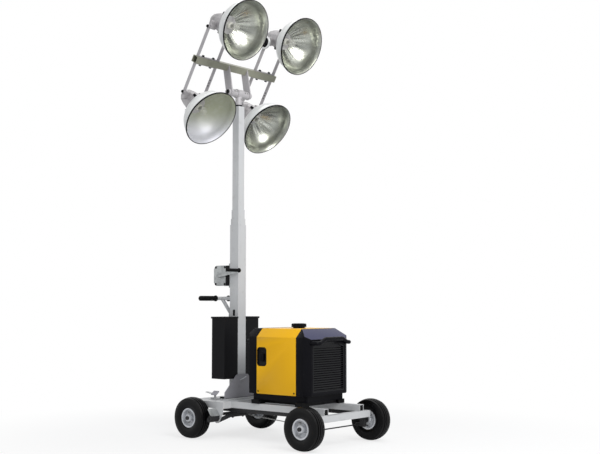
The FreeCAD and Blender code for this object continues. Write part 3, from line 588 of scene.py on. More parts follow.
def fasteners(name, places, body, size, finish="zincSteel", tree=hexTree, washer=1.45, height=0.6):
    # places: (point, facing) pairs. size is the head's radius.
    mesh = bpy.data.meshes.new(name)
    mesh.from_pydata([tuple(point) for point, facing in places], [], [])
    layer = mesh.attributes.new("facing", "FLOAT_VECTOR", "POINT")
    layer.data.foreach_set("vector", [c for point, facing in places for c in Vector(facing).normalized()])
    item = linked(name, mesh)
    applied(item, tree, {
        "headRadius": size, "headHeight": size * height, "washerRadius": size * washer,
        "washerHeight": size * 0.22, "finish": finishes[finish]})
    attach(item, body)


# Tyres: ribbed tread on a rounded carcass
tyreShape = {"ribs": 5, "grooveDepth": 0.0045, "grooveWidth": 0.0045, "steps": 96, "bead": 0.056,
             "beadInset": 0.013, "shoulderInset": 0.006, "crown": 0.007, "bulge": 0.45}


def tyreOutline(radius, width):
    # From one bead over the sidewall, the grooved tread and back down to the other bead
    half = width / 2
    shoulder = half - tyreShape["shoulderInset"]
    crown = tyreShape["crown"]
    bead = tyreShape["bead"]
    reach = tyreShape["beadInset"]
    beadHalf = half - reach
    sidewall = [(-beadHalf, bead), (-beadHalf, bead + 0.006), (-beadHalf - 0.005, bead + 0.010)]
    for t in (0.15, 0.3, 0.45, 0.6, 0.75, 0.9):
        angle = math.pi * (t * 0.92 + 0.04)
        sidewall.append((-beadHalf - reach * math.sin(angle) ** tyreShape["bulge"],
                         bead + 0.008 + (radius - crown - bead - 0.008) * t))
    sidewall.append((-shoulder, radius - crown))
    groove = tyreShape["grooveWidth"]
    ribs = tyreShape["ribs"]
    pitch = 2 * shoulder / ribs
    slope = groove / 2 + 0.0008
    profile = ((0.0, 1), (groove / 2, 1), (slope, 0), (pitch - slope, 0), (pitch - groove / 2, 1))
    tread = []
    for rib in range(ribs):
        for place, deep in profile:
            if rib == 0 and place < groove:
                continue
            if rib == ribs - 1 and place > pitch - groove:
                continue
            x = -shoulder + rib * pitch + place
            r = radius - crown * (x / shoulder) ** 2
            tread.append((x, r - (tyreShape["grooveDepth"] if deep else 0)))
    return sidewall + tread + [(-x, r) for x, r in reversed(sidewall)] + [sidewall[0]]


def makeTyre(name):
    low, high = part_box("tyre_" + name)
    centre = (low + high) / 2
    radius = (high.z - low.z) / 2
    width = high.y - low.y
    outline = tyreOutline(radius, width)
    placing = axisFrame(centre, (0, 1, 0), (1, 0, 0))
    mesh = lathe(outline, tyreShape["steps"], placing)
    tyre = newPiece("tyre_" + name + "_ribbed", mesh, ["tyreRubber"], "wheel_" + name, 28)
    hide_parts("tyre_" + name)


corners = ("front_left", "front_right", "rear_left", "rear_right")
for corner in corners:
    makeTyre(corner)
print("tyres made")


# Lamps
lampShape = {"depth": 0.165, "wall": 0.0016, "lip": 0.193, "neck": 0.060, "step": 0.034, "bulb": 0.027}
lampNames = [level + "_" + hand for level in ("upper", "lower") for hand in ("left", "right")]


def lampPlacing(name):
    # The lens's own plane gives the lamp's mouth and its axis
    points = np.array([tuple(v.co) for v in nodes["lamp_" + name + "_lens"].data.vertices])
    centre = points.mean(axis=0)
    normal = np.linalg.svd(points - centre)[2][2]
    normal = Vector(normal if normal[0] > 0 else -normal)
    return axisFrame(Vector(centre) - normal * 0.0015, normal, (0, 1, 0))


def bellOutline(inset, stepped):
    # The bell from its neck out to the mouth. Its outside has two step rings near the mouth.
    depth = lampShape["depth"]
    step = lampShape["step"]
    neck = lampShape["neck"] - inset
    wide = lampShape["lip"] - 0.010 - inset
    points = []
    for index in range(19):
        t = index / 18
        x = -depth + (depth - step) * t
        bulge = math.sin(t * math.pi / 2) ** 0.86
        points.append((x, neck + (wide - 0.006 - neck) * bulge))
    if not stepped:
        return points + [(-0.006, wide + 0.003)]
    points += [(-step + 0.002, wide - 0.002), (-step + 0.004, wide + 0.001), (-step + 0.008, wide - 0.001),
               (-step + 0.016, wide), (-step + 0.018, wide + 0.003), (-0.006, wide + 0.003)]
    return points


def makeReflector(name):
    wall = lampShape["wall"]
    lip = lampShape["lip"]
    outside = bellOutline(0, True)
    lining = bellOutline(wall, False)
    roll = [(-0.006, lip - 0.004), (-0.005, lip), (-0.001, lip), (0, lip - 0.003)]
    outline = outside + roll + lining[::-1] + [outside[0]]
    bands = [0] * (len(outside) + len(roll) - 1) + [1] * len(lining) + [0]
    placing = lampPlacing(name)
    mesh = lathe(outline, 96, placing, bands)
    back = placing.inverted()
    share = mesh.attributes.new("fromNeck", "FLOAT", "POINT")
    share.data.foreach_set("value", [1 + (back @ v.co).x / lampShape["depth"] for v in mesh.vertices])
    inside = "mattInside" if name == "lower_right" else "polishedInside"
    bell = newPiece("lamp_" + name + "_bell", mesh, ["spunOutside", inside],
                    "lamp_" + name, 30)
    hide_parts("lamp_" + name + "_reflector")


housingShape = {"ribs": 12, "ribHeight": 0.0022, "ribZone": (0.044, 0.0655), "ribEnd": 0.020,
                "earRear": -0.252, "earFront": -0.224, "earRoot": 0.044, "earSeat": 0.0902,
                "earRound": 0.0135, "pivot": 0.045, "pivotBack": -0.240, "pivotSeat": 0.088, "boss": 0.014}
housingTail = [(0, 0.026), (0.004, 0.034), (0.016, 0.042), (0.030, 0.048), (0.050, 0.053), (0.085, 0.058),
               (0.126, 0.064), (0.132, 0.072), (0.152, 0.072)]


def makeHousing(name):
    # A smooth tapered casting with low ribs, and ears that reach the pivot on both sides
    shape = housingShape
    placing = lampPlacing(name)
    back = -lampShape["depth"]
    start = back - housingTail[-1][0]
    tail = [(start + ahead, radius) for ahead, radius in housingTail]
    outline = [(start, 0)] + tail + [(back, 0), (start, 0)]
    rounded = [outline[0]]
    for a, b in zip(outline[1:-3], outline[2:-2]):
        rounded += [a, ((a[0] + b[0]) / 2, (a[1] + b[1]) / 2)]
    rounded += outline[-3:]
    bm = bmesh.new()
    bm.from_mesh(lathe(rounded, 144, Matrix.Identity(4)))
    for vert in bm.verts:
        radius = math.hypot(vert.co.y, vert.co.z)
        if shape["ribZone"][0] < radius < shape["ribZone"][1] and vert.co.x < back - shape["ribEnd"]:
            wave = max(0.0, math.sin(shape["ribs"] * math.atan2(vert.co.z, vert.co.y))) ** 3
            vert.co.y *= 1 + wave * shape["ribHeight"] / radius
            vert.co.z *= 1 + wave * shape["ribHeight"] / radius
    level = -1 if name.startswith("upper") else 1
    for side in (-1, 1):
        reach = span(side, shape["earRoot"], shape["earSeat"])
        rise = sorted((level * (shape["pivot"] + shape["boss"]), 0))
        low = (shape["earRear"], reach[0], rise[0])
        high = (shape["earFront"], reach[1], rise[1])
        bm.from_mesh(meshFrom(softened(roundedBlock(low, high, 1, shape["earRound"]), 0.0012, 1)))
        pivot = Vector((shape["pivotBack"], side * shape["pivotSeat"], level * shape["pivot"]))
        knob = [(0, 0), (0, 0.005), (0.0081, 0.005), (0.0081, 0.0095), (0.0092, 0.0105), (0.0175, 0.0105),
                (0.018, 0.0095), (0.018, 0), (0, 0)]
        bm.from_mesh(lathe(knob, 24, axisFrame(pivot, (0, side, 0), (1, 0, 0))))
    bmesh.ops.transform(bm, matrix=placing, verts=bm.verts)
    lamp = "lamp_" + name
    housing = newPiece(lamp + "_casting", meshFrom(bm), ["castHousing"], lamp, 40)
    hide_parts(lamp + "_housing")


def makeBulb(name):
    # An elliptical discharge bulb in its porcelain holder
    depth = lampShape["depth"]
    r = lampShape["bulb"]
    holder = [(-0.002, 0), (-0.002, 0.024), (0.022, 0.022), (0.024, 0.016), (0.032, 0.015)]
    outline = [(x - depth, r) for x, r in holder]
    for index in range(13):
        t = index / 12
        x = -depth + 0.034 + 0.070 * t
        outline.append((x, max(0.0, r * math.sin(math.pi * (0.12 + 0.88 * t)) ** 0.8)))
    mesh = lathe(outline, 32, lampPlacing(name), [1] * 4 + [0] * (len(outline) - 5))
    newPiece("lamp_" + name + "_bulb", mesh, ["bulbGlass", "porcelain"], "lamp_" + name)


def makeLensRing(name):
    # The thin dark ring that holds the lens in the mouth
    lip = lampShape["lip"]
    section = [(-0.0045, 0.0002), (-0.0045, 0.0012), (0.003, 0.0012), (0.0038, -0.0006), (0.0038, -0.0038),
               (0.0032, -0.0038), (0.0032, 0.0002), (-0.0045, 0.0002)]
    outline = [(x, lip + r) for x, r in section]
    mesh = lathe(outline, 96, lampPlacing(name))
    newPiece("lamp_" + name + "_ring", mesh, ["blackPaint"], "lamp_" + name)


def glowGlass():
    # The bulb's thin, slightly milky glass
    f = Finish("bulbGlass", tone(238, 238, 230), 0.12)
    cloud = f.noise(30, 2)
    f.colour(f.mix(cloud.between(0.3, 0.7), tone(220, 220, 210), tone(196, 196, 186)))
    f.put(cloud * 0.1 + 0.3, f.surface.inputs["Alpha"])
    return f.material


finishes["bulbGlass"] = glowGlass()
finishes["porcelain"] = mouldedPlastic("porcelain", tone(222, 220, 212), 0.3, 300.0, 0.05)

for lampName in lampNames:
    makeReflector(lampName)
    makeHousing(lampName)
    makeBulb(lampName)
    makeLensRing(lampName)
print("lamps dressed:", len(lampNames))


# Generator housing: three moulded covers, their recess, handles and screws
coverShape = {"shoulder": 0.052, "frontRun": 0.080, "frontDrop": 0.064, "rearRun": 0.030, "rearDrop": 0.046,
              "cornerRun": 0.029, "cornerWidth": 0.045, "edge": 0.0045, "seam": 0.0012}
grilleShape = {"half": 0.152, "bottom": 0.322, "spring": 0.596, "arch": 0.026, "depth": 0.0142}
ventShape = {"count": 12, "first": 0.345, "pitch": 0.017, "height": 0.008, "half": 0.115, "depth": 0.006}
recessShape = {"length": 0.080, "bottom": 0.470, "top": 0.586, "depth": 0.014, "round": 0.020, "wall": 0.004}
latchShape = {"from": 0.022, "to": 0.056, "lift": 0.030, "drop": 0.038, "sink": 0.0105, "round": 0.008}
barShape = {"half": 0.168, "knee": 0.150, "crest": 0.078, "rise": 0.024, "radius": 0.0125, "reach": 0.040}


def coverPlanes(high):
    # The sloped shoulders that all three covers share
    half = high.y
    return [((0, side * half, high.z - coverShape["shoulder"]), (0, side, 1)) for side in (1, -1)]


def endPlanes(high, end, sign, run, drop):
    # The slope at the top of an end cover and its two cut corners
    planes = coverPlanes(high)
    planes.append(((end - sign * run, 0, high.z), (sign * drop, 0, run)))
    for side in (1, -1):
        planes.append(((end - sign * coverShape["cornerRun"], side * high.y, 0),
                       (sign * coverShape["cornerWidth"], side * coverShape["cornerRun"], 0)))
    return planes


def grilleCutter(end):
    # The front opening: upright sides and a shallow arch over the top
    half = grilleShape["half"]
    rise = grilleShape["arch"]
    radius = (half ** 2 + rise ** 2) / (2 * rise)
    centre = grilleShape["spring"] + rise - radius
    spread = math.asin(half / radius)
    points = [(-half, grilleShape["bottom"]), (half, grilleShape["bottom"])]
    for index in range(13):
        angle = spread * (1 - index / 6)
        points.append((radius * math.sin(angle), centre + radius * math.cos(angle)))
    back = end - grilleShape["depth"]
    return prismAlong([(back, y, z) for y, z in points], (0.03, 0, 0))


def makeCovers():
    seam = coverShape["seam"]
    low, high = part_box("generator_front_cover")
    low.x += seam / 2
    slope = Vector((coverShape["frontDrop"], 0, coverShape["frontRun"])).normalized()
    planes = endPlanes(high, high.x, 1, coverShape["frontRun"], coverShape["frontDrop"])
    mesh = shaped(cutBlock(low, high, planes), coverShape["edge"], [grilleCutter(high.x)])
    front = newPiece("generator_front_moulding", mesh, ["housingBlack", "slopeBlue"],
                     "chassis", 40)
    for face in mesh.polygons:
        face.material_index = 1 if face.normal.dot(slope) > 0.995 else 0
    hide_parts("generator_front_cover")
    low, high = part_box("generator_rear_cover")
    high.x -= seam / 2
    planes = endPlanes(high, low.x, -1, coverShape["rearRun"], coverShape["rearDrop"])
    vents = []
    for index in range(ventShape["count"]):
        z = ventShape["first"] + ventShape["pitch"] * index
        vents.append(cutBlock((low.x - 0.01, -ventShape["half"], z),
                              (low.x + ventShape["depth"], ventShape["half"], z + ventShape["height"])))
    mesh = shaped(cutBlock(low, high, planes), coverShape["edge"], vents)
    rear = newPiece("generator_rear_moulding", mesh, ["housingBlack"], "chassis", 40)
    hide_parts("generator_rear_cover")
    low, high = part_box("generator_mid_cover")
    low.x += seam / 2
    high.x -= seam / 2
    mesh = shaped(cutBlock(low, high, coverPlanes(high)), 0.003, [recessBlock(low, high, 0, 0.02)])
    middle = newPiece("generator_yellow_moulding", mesh, ["panelYellow"], "chassis", 40)
    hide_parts("generator_mid_cover")
    wall = recessShape["wall"]
    hollow = recessBlock(low, high, wall, 0.02, wall)
    tray = shaped(recessBlock(low, high, 0.0003, -0.0005), 0.0008, [hollow], 2)
    newPiece("generator_recess", tray, ["blackPaint"], "chassis", 40)
    near = (low.x + latchShape["from"], -high.y + 0.001, recessShape["bottom"] + latchShape["lift"])
    far = (low.x + latchShape["to"], -high.y + latchShape["sink"], recessShape["top"] - latchShape["drop"])
    latch = roundedBlock(near, far, 1, latchShape["round"])
    newPiece("generator_latch", shaped(latch, 0.0015), ["housingBlack"], "chassis", 40)


def recessBlock(low, high, inset, proud, lift=0.0):
    # The rounded recess on the right side of the yellow cover. proud is how far it stands out of the panel.
    face = -high.y
    near = (low.x + 0.002 + inset, face - proud, recessShape["bottom"] + inset)
    far = (low.x + recessShape["length"] - inset, face + recessShape["depth"] - lift,
           recessShape["top"] - inset)
    return roundedBlock(near, far, 1, recessShape["round"] - inset)


def makeHandle(end, node, cover):
    # A round bar bowed out from the end cover: two feet, two knees and a raised middle
    sign = 1 if end == "front" else -1
    low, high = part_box(node)
    coverLow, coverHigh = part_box(cover)
    face = coverHigh.x if sign > 0 else coverLow.x
    height = (low.z + high.z) / 2
    out = face + sign * barShape["reach"]
    foot = face - sign * 0.018
    crest = height + barShape["rise"]
    knee = face + sign * barShape["reach"] * 0.9
    middle = (barShape["knee"] + barShape["crest"]) / 2 + 0.01
    half = [(foot, barShape["half"], height), (knee - sign * 0.01, barShape["half"], height),
            (out, barShape["knee"], height), (out, middle, height + 0.002),
            (out, barShape["crest"] + 0.01, crest), (out, barShape["crest"] - 0.02, crest)]
    route = half + [(x, -y, z) for x, y, z in reversed(half)]
    bar = tube("generator_bar_" + end, route, barShape["radius"], "housingBlack", "chassis")
    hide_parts(node)


makeCovers()
makeHandle("front", "generator_handle_front", "generator_front_cover")
makeHandle("rear", "generator_handle_rear", "generator_rear_cover")


capShape = {"wider": 1.1, "taller": 1.25, "neckInset": 0.010, "ridges": 18, "ridgeDepth": 0.0022}


def makeFuelCap():
    # A grooved cap on a neck, revolved about its own axis and a little bolder than the solid
    low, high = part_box("fuel_cap")
    centre = Vector(((low.x + high.x) / 2, 0, low.z))
    radius = (high.x - low.x) / 2 * capShape["wider"]
    height = (high.z - low.z) * capShape["taller"]
    neck = radius - capShape["neckInset"]
    outline = [(0, 0), (0, neck), (0.006, neck), (0.007, radius), (height - 0.005, radius),
               (height - 0.001, radius - 0.004), (height - 0.001, radius - 0.012), (height, radius - 0.014),
               (height, 0), (0, 0)]
    bm = bmesh.new()
    bm.from_mesh(lathe(outline, 72, axisFrame(centre, (0, 0, 1), (1, 0, 0))))
    for vert in bm.verts:
        spoke = Vector((vert.co.x - centre.x, vert.co.y, 0))
        if spoke.length > radius - 0.0005 and math.sin(math.atan2(spoke.y, spoke.x) * capShape["ridges"]) > 0:
            vert.co -= spoke.normalized() * capShape["ridgeDepth"]
    cap = newPiece("fuel_cap_grooved", meshFrom(bm), ["housingBlack"], "chassis", 30)
    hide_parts("fuel_cap")


def makeScrews():
    # Two rows of small screws low on both sides of the covers
    low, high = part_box("generator_mid_cover")
    places = []
    for x in (low.x + 0.014, high.x - 0.014, high.x + 0.030):
        for y in (low.y, high.y):
            places.append(((x, y, low.z + 0.016), (0, y, 0)))
    fasteners("generator_screws", places, "chassis", 0.0042, "blackSteel", roundTree,
              1.3, 0.4)


makeFuelCap()
makeScrews()
print("generator dressed")


# Grips with moulded rings
gripShape = {"pitch": 0.006, "depth": 0.0016, "flange": 0.0035, "flangeLength": 0.005, "handLength": 0.150,
             "handRadiusInset": 0.0025, "hole": 0.012}


def ringedGrip(name, start, along, length, radius, body, hole=0.0):
    # A grip of rounded rings between a flange and a domed end
    flange = gripShape["flangeLength"]
    wide = radius + gripShape["flange"]
    outline = [(0, hole), (0, wide), (flange, wide), (flange + 0.001, radius)]
    first = flange + 0.003
    count = int((length - first - 0.008) / gripShape["pitch"])
    for index in range(count):
        x = first + index * gripShape["pitch"]
        for share, drop in ((0.0, 1.0), (0.12, 0.25), (0.3, 0.0), (0.7, 0.0), (0.88, 0.25)):
            outline.append((x + share * gripShape["pitch"], radius - drop * gripShape["depth"]))
    outline += [(length - 0.004, radius - 0.0005), (length - 0.001, radius - 0.003), (length, radius - 0.007)]
    outline.append((length, 0))
    outline += [(length - 0.004, 0), (length - 0.004, hole), (0, hole)] if hole else [(0, 0)]
    placing = axisFrame(start, along, (1, 0, 0))
    return newPiece(name, lathe(outline, 40, placing), ["rubber"], body, 35)


def makeGrips():
    low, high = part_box("handle_grips")
    centre = (low + high) / 2
    length = gripShape["handLength"]
    radius = (high.z - low.z) / 2 - gripShape["handRadiusInset"]
    for hand, sign in hands:
        start = Vector((centre.x, sign * (high.y - length), centre.z))
        grip = ringedGrip("handle_grip_" + hand, start, (0, sign, 0), length, radius, "chassis",
                          gripShape["hole"])
        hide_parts("handle_grips")
    low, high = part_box("crank_grip")
    centre = (low + high) / 2
    start = Vector((centre.x, high.y, centre.z))
    radius = (high.z - low.z) / 2
    grip = ringedGrip("crank_grip_ringed", start, (0, -1, 0), high.y - low.y, radius, "winch_crank")
    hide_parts("crank_grip")


makeGrips()


# Winch: black mast bracket cheeks and plate bolts
cheekShape = {"thick": 0.0035, "long": 0.034, "half": 0.066, "boltHalf": 0.056, "boltRear": 0.018,
              "boltFront": 0.045}


def makeWinch():
    shape = cheekShape
    low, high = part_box("winch_frame")
    middle = (low.z + high.z) / 2
    for hand, sign in reversed(hands):
        y = span(sign, high.y, high.y + shape["thick"])
        cheek = cutBlock((high.x - shape["long"], y[0], middle - shape["half"]),
                         (high.x - 0.001, y[1], middle + shape["half"]))
        newPiece("winch_cheek_" + hand, shaped(cheek, 0.001), ["blackPaint"], "chassis",
                 40)
    places = []
    for sign in (-1, 1):
        for x in (low.x + shape["boltRear"], high.x - shape["boltFront"]):
            for z in (middle - shape["boltHalf"], middle + shape["boltHalf"]):
                places.append(((x, sign * high.y, z), (0, sign, 0)))
    fasteners("winch_bolts", places, "chassis", 0.0055, "blackSteel", hexTree)


makeWinch()


# Lamp fittings
clipShape = {"length": 0.036, "width": 0.018, "height": 0.013, "angles": (38, 142, 270), "radius": 0.0715,
             "behindNeck": 0.030, "blocks": ((0, 1, 1, 0, 0.6), (0.15, 0.5, 0.6, 0.5, 1.25))}
cupShape = {"pivotBolt": 0.1058, "start": 0.0965,
            "cup": [(0, 0.034), (0, 0.043), (0.012, 0.045), (0.015, 0.043), (0.015, 0.036), (0.004, 0.033),
                    (0, 0.034)],
            "dish": [(0, 0), (0, 0.034), (0.003, 0.034), (0.003, 0.020), (0.009, 0.012), (0.0145, 0.010),
                     (0.0145, 0), (0, 0)]}


def makeClips(name):
    # Three over-centre latches that hold the bell to its housing, each a base and a smaller lever
    shape = clipShape
    bm = bmesh.new()
    placing = lampPlacing(name)
    back = -lampShape["depth"] - shape["behindNeck"]
    for angle in shape["angles"]:
        turn = placing @ Matrix.Rotation(math.radians(angle), 4, "X")
        for x0, x1, wide, r0, r1 in shape["blocks"]:
            half = wide * shape["width"] / 2
            low = (back + x0 * shape["length"], -half, shape["radius"] + r0 * shape["height"])
            high = (back + x1 * shape["length"], half, shape["radius"] + r1 * shape["height"])
            block = softened(cutBlock(low, high), 0.0012)
            bmesh.ops.transform(block, matrix=turn, verts=block.verts)
            bm.from_mesh(meshFrom(block))
    newPiece("lamp_" + name + "_clips", meshFrom(bm), ["blackSteel"], "lamp_" + name, 30)


def makePivotBolts(name):
    lamp = "lamp_" + name
    pivot = Vector(joints[lamp + "_tilt"]["pos_m"])
    places = [((pivot.x, pivot.y + sign * cupShape["pivotBolt"], pivot.z), (0, sign, 0)) for sign in (-1, 1)]
    fasteners(lamp + "_pivot_bolts", places, lamp, 0.0085, "blackSteel", hexTree, 1.25)


def makeCup(name):
    # A round cup over the near pivot of one lamp: a white ring with a black dish
    lamp = "lamp_" + name
    start = Vector(joints[lamp + "_tilt"]["pos_m"]) + Vector((0, -cupShape["start"], 0))
    placing = axisFrame(start, (0, -1, 0), (1, 0, 0))
    for part, finish in (("cup", "spunOutside"), ("dish", "blackPaint")):
        newPiece(lamp + "_" + part, lathe(cupShape[part], 48, placing), [finish], lamp, 35)


for lampName in lampNames:
    makeClips(lampName)
    makePivotBolts(lampName)
makeCup("upper_left")


# Bolts on the head, the mast foot and the wheels
headLean = math.radians(30)
lampHalf = joints["lamp_upper_left_tilt"]["pos_m"][1]
boltShape = {"stirrupAcross": 0.0465, "stirrupLift": 0.0275, "footRear": 0.082, "footFront": 0.070,
             "footSide": 0.016, "rimCircle": 0.041, "rimLift": 0.0035}


def makeBolts():
    shape = boltShape
    low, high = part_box("crossbar")
    centre = (low + high) / 2
    up = Vector((math.sin(headLean), 0, math.cos(headLean)))
    places = []
    for hand in (-1, 1):
        for across in (-1, 1):
            for way in (-1, 1):
                side = Vector((0, hand * lampHalf + across * shape["stirrupAcross"], 0))
                places.append((centre + side + up * way * shape["stirrupLift"], up * way))
    fasteners("stirrup_bolts", places, "tilt_frame", 0.0085, "blackSteel", hexTree, 1.4, 0.9)
    low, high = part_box("mast_foot")
    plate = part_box("mast_section_1")[0].z
    places = []
    for x in (low.x + shape["footRear"], high.x - shape["footFront"]):
        for y in (low.y + shape["footSide"], high.y - shape["footSide"]):
            places.append(((x, y, plate), (0, 0, 1)))
    fasteners("foot_bolts", places, "chassis", 0.0085, "blackSteel", hexTree, 1.3, 1.1)
    for corner in corners:
        low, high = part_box("rim_" + corner)
        centre = (low + high) / 2
        sign = 1 if centre.y > 0 else -1
        circle = shape["rimCircle"]
        places = []
        for index in range(4):
            angle = math.pi * (0.25 + index / 2)
            ahead = Vector((circle * math.cos(angle), sign * shape["rimLift"], circle * math.sin(angle)))
            places.append((centre + ahead, (0, sign, 0)))
        fasteners("rim_bolts_" + corner, places, "wheel_" + corner, 0.0052, "zincSteel")


makeBolts()


# Fittings of the head and the mast
headShape = {"screwSides": (-0.062, -0.040, 0.040, 0.062), "screwAngles": (20, 110), "screwReach": 0.0252,
             "stubAngles": (-80, 10), "stubScrewLift": 0.036, "stubScrewReach": 0.0218, "mouth": 0.0168,
             "mouthDepth": 0.012, "mouthInset": 0.004, "stubLength": 0.062, "seat": (0.0165, 0.0235, 0.0105)}


def makeHeadFittings():
    # Set screws of the cast tee, a black plug in each mouth of the pivot tube as painted shade, and the dark seat
    # on the mast's stub
    shape = headShape
    centre = Vector(joints["head_tilt"]["pos_m"])
    stub = Vector(joints["head_pan"]["pos_m"])
    places = []
    for y in shape["screwSides"]:
        for angle in shape["screwAngles"]:
            way = Vector((math.cos(math.radians(angle)), 0, math.sin(math.radians(angle))))
            places.append((centre + Vector((0, y, 0)) + way * shape["screwReach"], way))
    level = Vector((stub.x, 0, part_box("head_clamp")[0].z + shape["stubScrewLift"]))
    for angle in shape["stubAngles"]:
        way = Vector((math.cos(math.radians(angle)), math.sin(math.radians(angle)), 0))
        places.append((level + way * shape["stubScrewReach"], way))
    fasteners("clamp_screws", places, "pan_head", 0.0048, "zincSteel", hexTree, 1.2, 0.9)
    mouth = shape["mouth"]
    depth = shape["mouthDepth"]
    # A black plug a little way inside each end of the pivot tube: painted shade of its inside
    shadePlug = [(0, 0), (0, mouth), (-depth, mouth), (-depth, 0), (0, 0)]
    for hand, sign in hands:
        start = Vector((centre.x, sign * (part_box("pivot_tube")[1].y - shape["mouthInset"]), centre.z))
        mesh = lathe(shadePlug, 32, axisFrame(start, (0, sign, 0), (1, 0, 0)))
        newPiece("tube_mouth_shade_" + hand, mesh, ["blackPaint"], "tilt_frame", 30)
    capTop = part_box("mast_section_4")[1].z - shape["stubLength"]
    inner, outer, height = shape["seat"]
    seat = [(0, inner), (0, outer), (height, outer), (height, inner), (0, inner)]
    mesh = lathe(seat, 32, axisFrame((stub.x, 0, capTop + 0.0003), (0, 0, 1), (1, 0, 0)))
    newPiece("stub_seat", mesh, ["blackPaint"], "mast_section_4", 30)


makeHeadFittings()

slotShadeShape = {"behind": 0.008, "ahead": 0.011, "bottom": 0.775, "top": 0.816, "round": 0.005, "proud": 0.0006}


def makeMastSlotShade():
    # Black plates low on the mast's two side faces, beside the handle's brace: painted shade where the slots are
    shape = slotShadeShape
    low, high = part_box("mast_section_1")
    middle = (low.x + high.x) / 2
    for hand, sign in hands:
        y = span(sign, high.y, high.y + shape["proud"])
        plate = roundedBlock((middle - shape["behind"], y[0], shape["bottom"]),
                             (middle + shape["ahead"], y[1], shape["top"]), 1, shape["round"])
        newPiece("mast_slot_shade_" + hand, meshFrom(plate), ["blackPaint"], "chassis", 30)


makeMastSlotShade()

railShape = {"wall": 0.0031, "bore": 0.0369, "shadeBack": 0.010, "shadeFront": 0.003, "side": 0.040,
             "runnerHalf": 0.010, "runnerHeight": 0.025, "runnerShadeStart": 0.085}


def makeRailEnds():
    # Dark blocks a little way inside the open front ends of the two rails: painted shade of their insides
    shape = railShape
    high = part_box("frame_rails")[1]
    bm = bmesh.new()
    for side in (-1, 1):
        y = span(side, high.y - shape["wall"], high.y - shape["bore"])
        shadePlug = cutBlock((high.x - shape["shadeBack"], y[0], high.z - shape["bore"]),
                        (high.x - shape["shadeFront"], y[1], high.z - shape["wall"]))
        bm.from_mesh(meshFrom(shadePlug))
    newPiece("rail_end_shades", meshFrom(bm), ["rubber"], "chassis", 40)


makeRailEnds()


# Mast foot: the base plate with its tapered front gusset in a darker grey of painted shade, the weld along it in
# dark steel as a painted shadow line, and a lighter bead on the gusset as a painted highlight
footShape = {"toe": 0.040, "lap": 0.014, "inset": 0.003, "gusset": 0.008, "weldAhead": 0.0085,
             "bead": ((-0.024, 0.036), (0.006, 0.030), (0.034, 0.018))}


def makeFoot():
    shape = footShape
    low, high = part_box("mast_foot")
    mastLow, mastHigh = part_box("mast_section_1")
    base = mastLow.z
    half = high.y - shape["inset"]
    top = mastHigh.y + shape["lap"]
    front = mastHigh.x
    toe = base + shape["toe"]
    bm = softened(cutBlock(low, (high.x, high.y, base)), 0.0012)
    outline = [(-half, base), (half, base), (half, toe), (top, high.z), (-top, high.z), (-half, toe)]
    gusset = softened(prismAlong([(front, y, z) for y, z in outline], (shape["gusset"], 0, 0)), 0.0010)
    # The gusset's faces take the darker grey: painted shade
    for face in gusset.faces:
        face.material_index = 1
    bm.from_mesh(meshFrom(gusset))
    foot = newPiece("mast_foot_welded", meshFrom(bm), ["framePaint", "gussetShadePaint"],
                    "chassis", 30)
    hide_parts("mast_foot")
    line = front + shape["weldAhead"]
    # The bead along the foot is dark steel: a painted shadow line under the gusset
    tube("foot_weld_shadow", [(line, -half + 0.004, base), (line, 0, base), (line, half - 0.004, base)],
         0.0030, "darkSteel", "chassis")
    # The bead over the gusset top takes the lighter, glossier rim paint: a painted highlight
    tube("gusset_weld_highlight", [(line, y, high.z - drop) for y, drop in shape["bead"]],
         0.0032, "rimPaint", "chassis")


makeFoot()

# Parking brake: an arched beam, two sleeves with foot plates, and the pull rod to the right yoke
brakeShape = {"behindDeck": 0.050, "height": 0.118, "radius": 0.010, "sleeve": 0.016, "inner": 0.268,
              "outer": 0.345, "end": 0.262, "knee": 0.150, "endDrop": 0.016, "rise": 0.026, "depth": 0.026,
              "thick": 0.010, "step": 0.056, "stepHalf": 0.0025, "lean": -36.0, "ahead": 0.022, "lift": 0.032,
              "nuts": (0.127, 0.033), "sleeveRise": 0.009, "rod": 0.003, "rodHeight": 0.128}


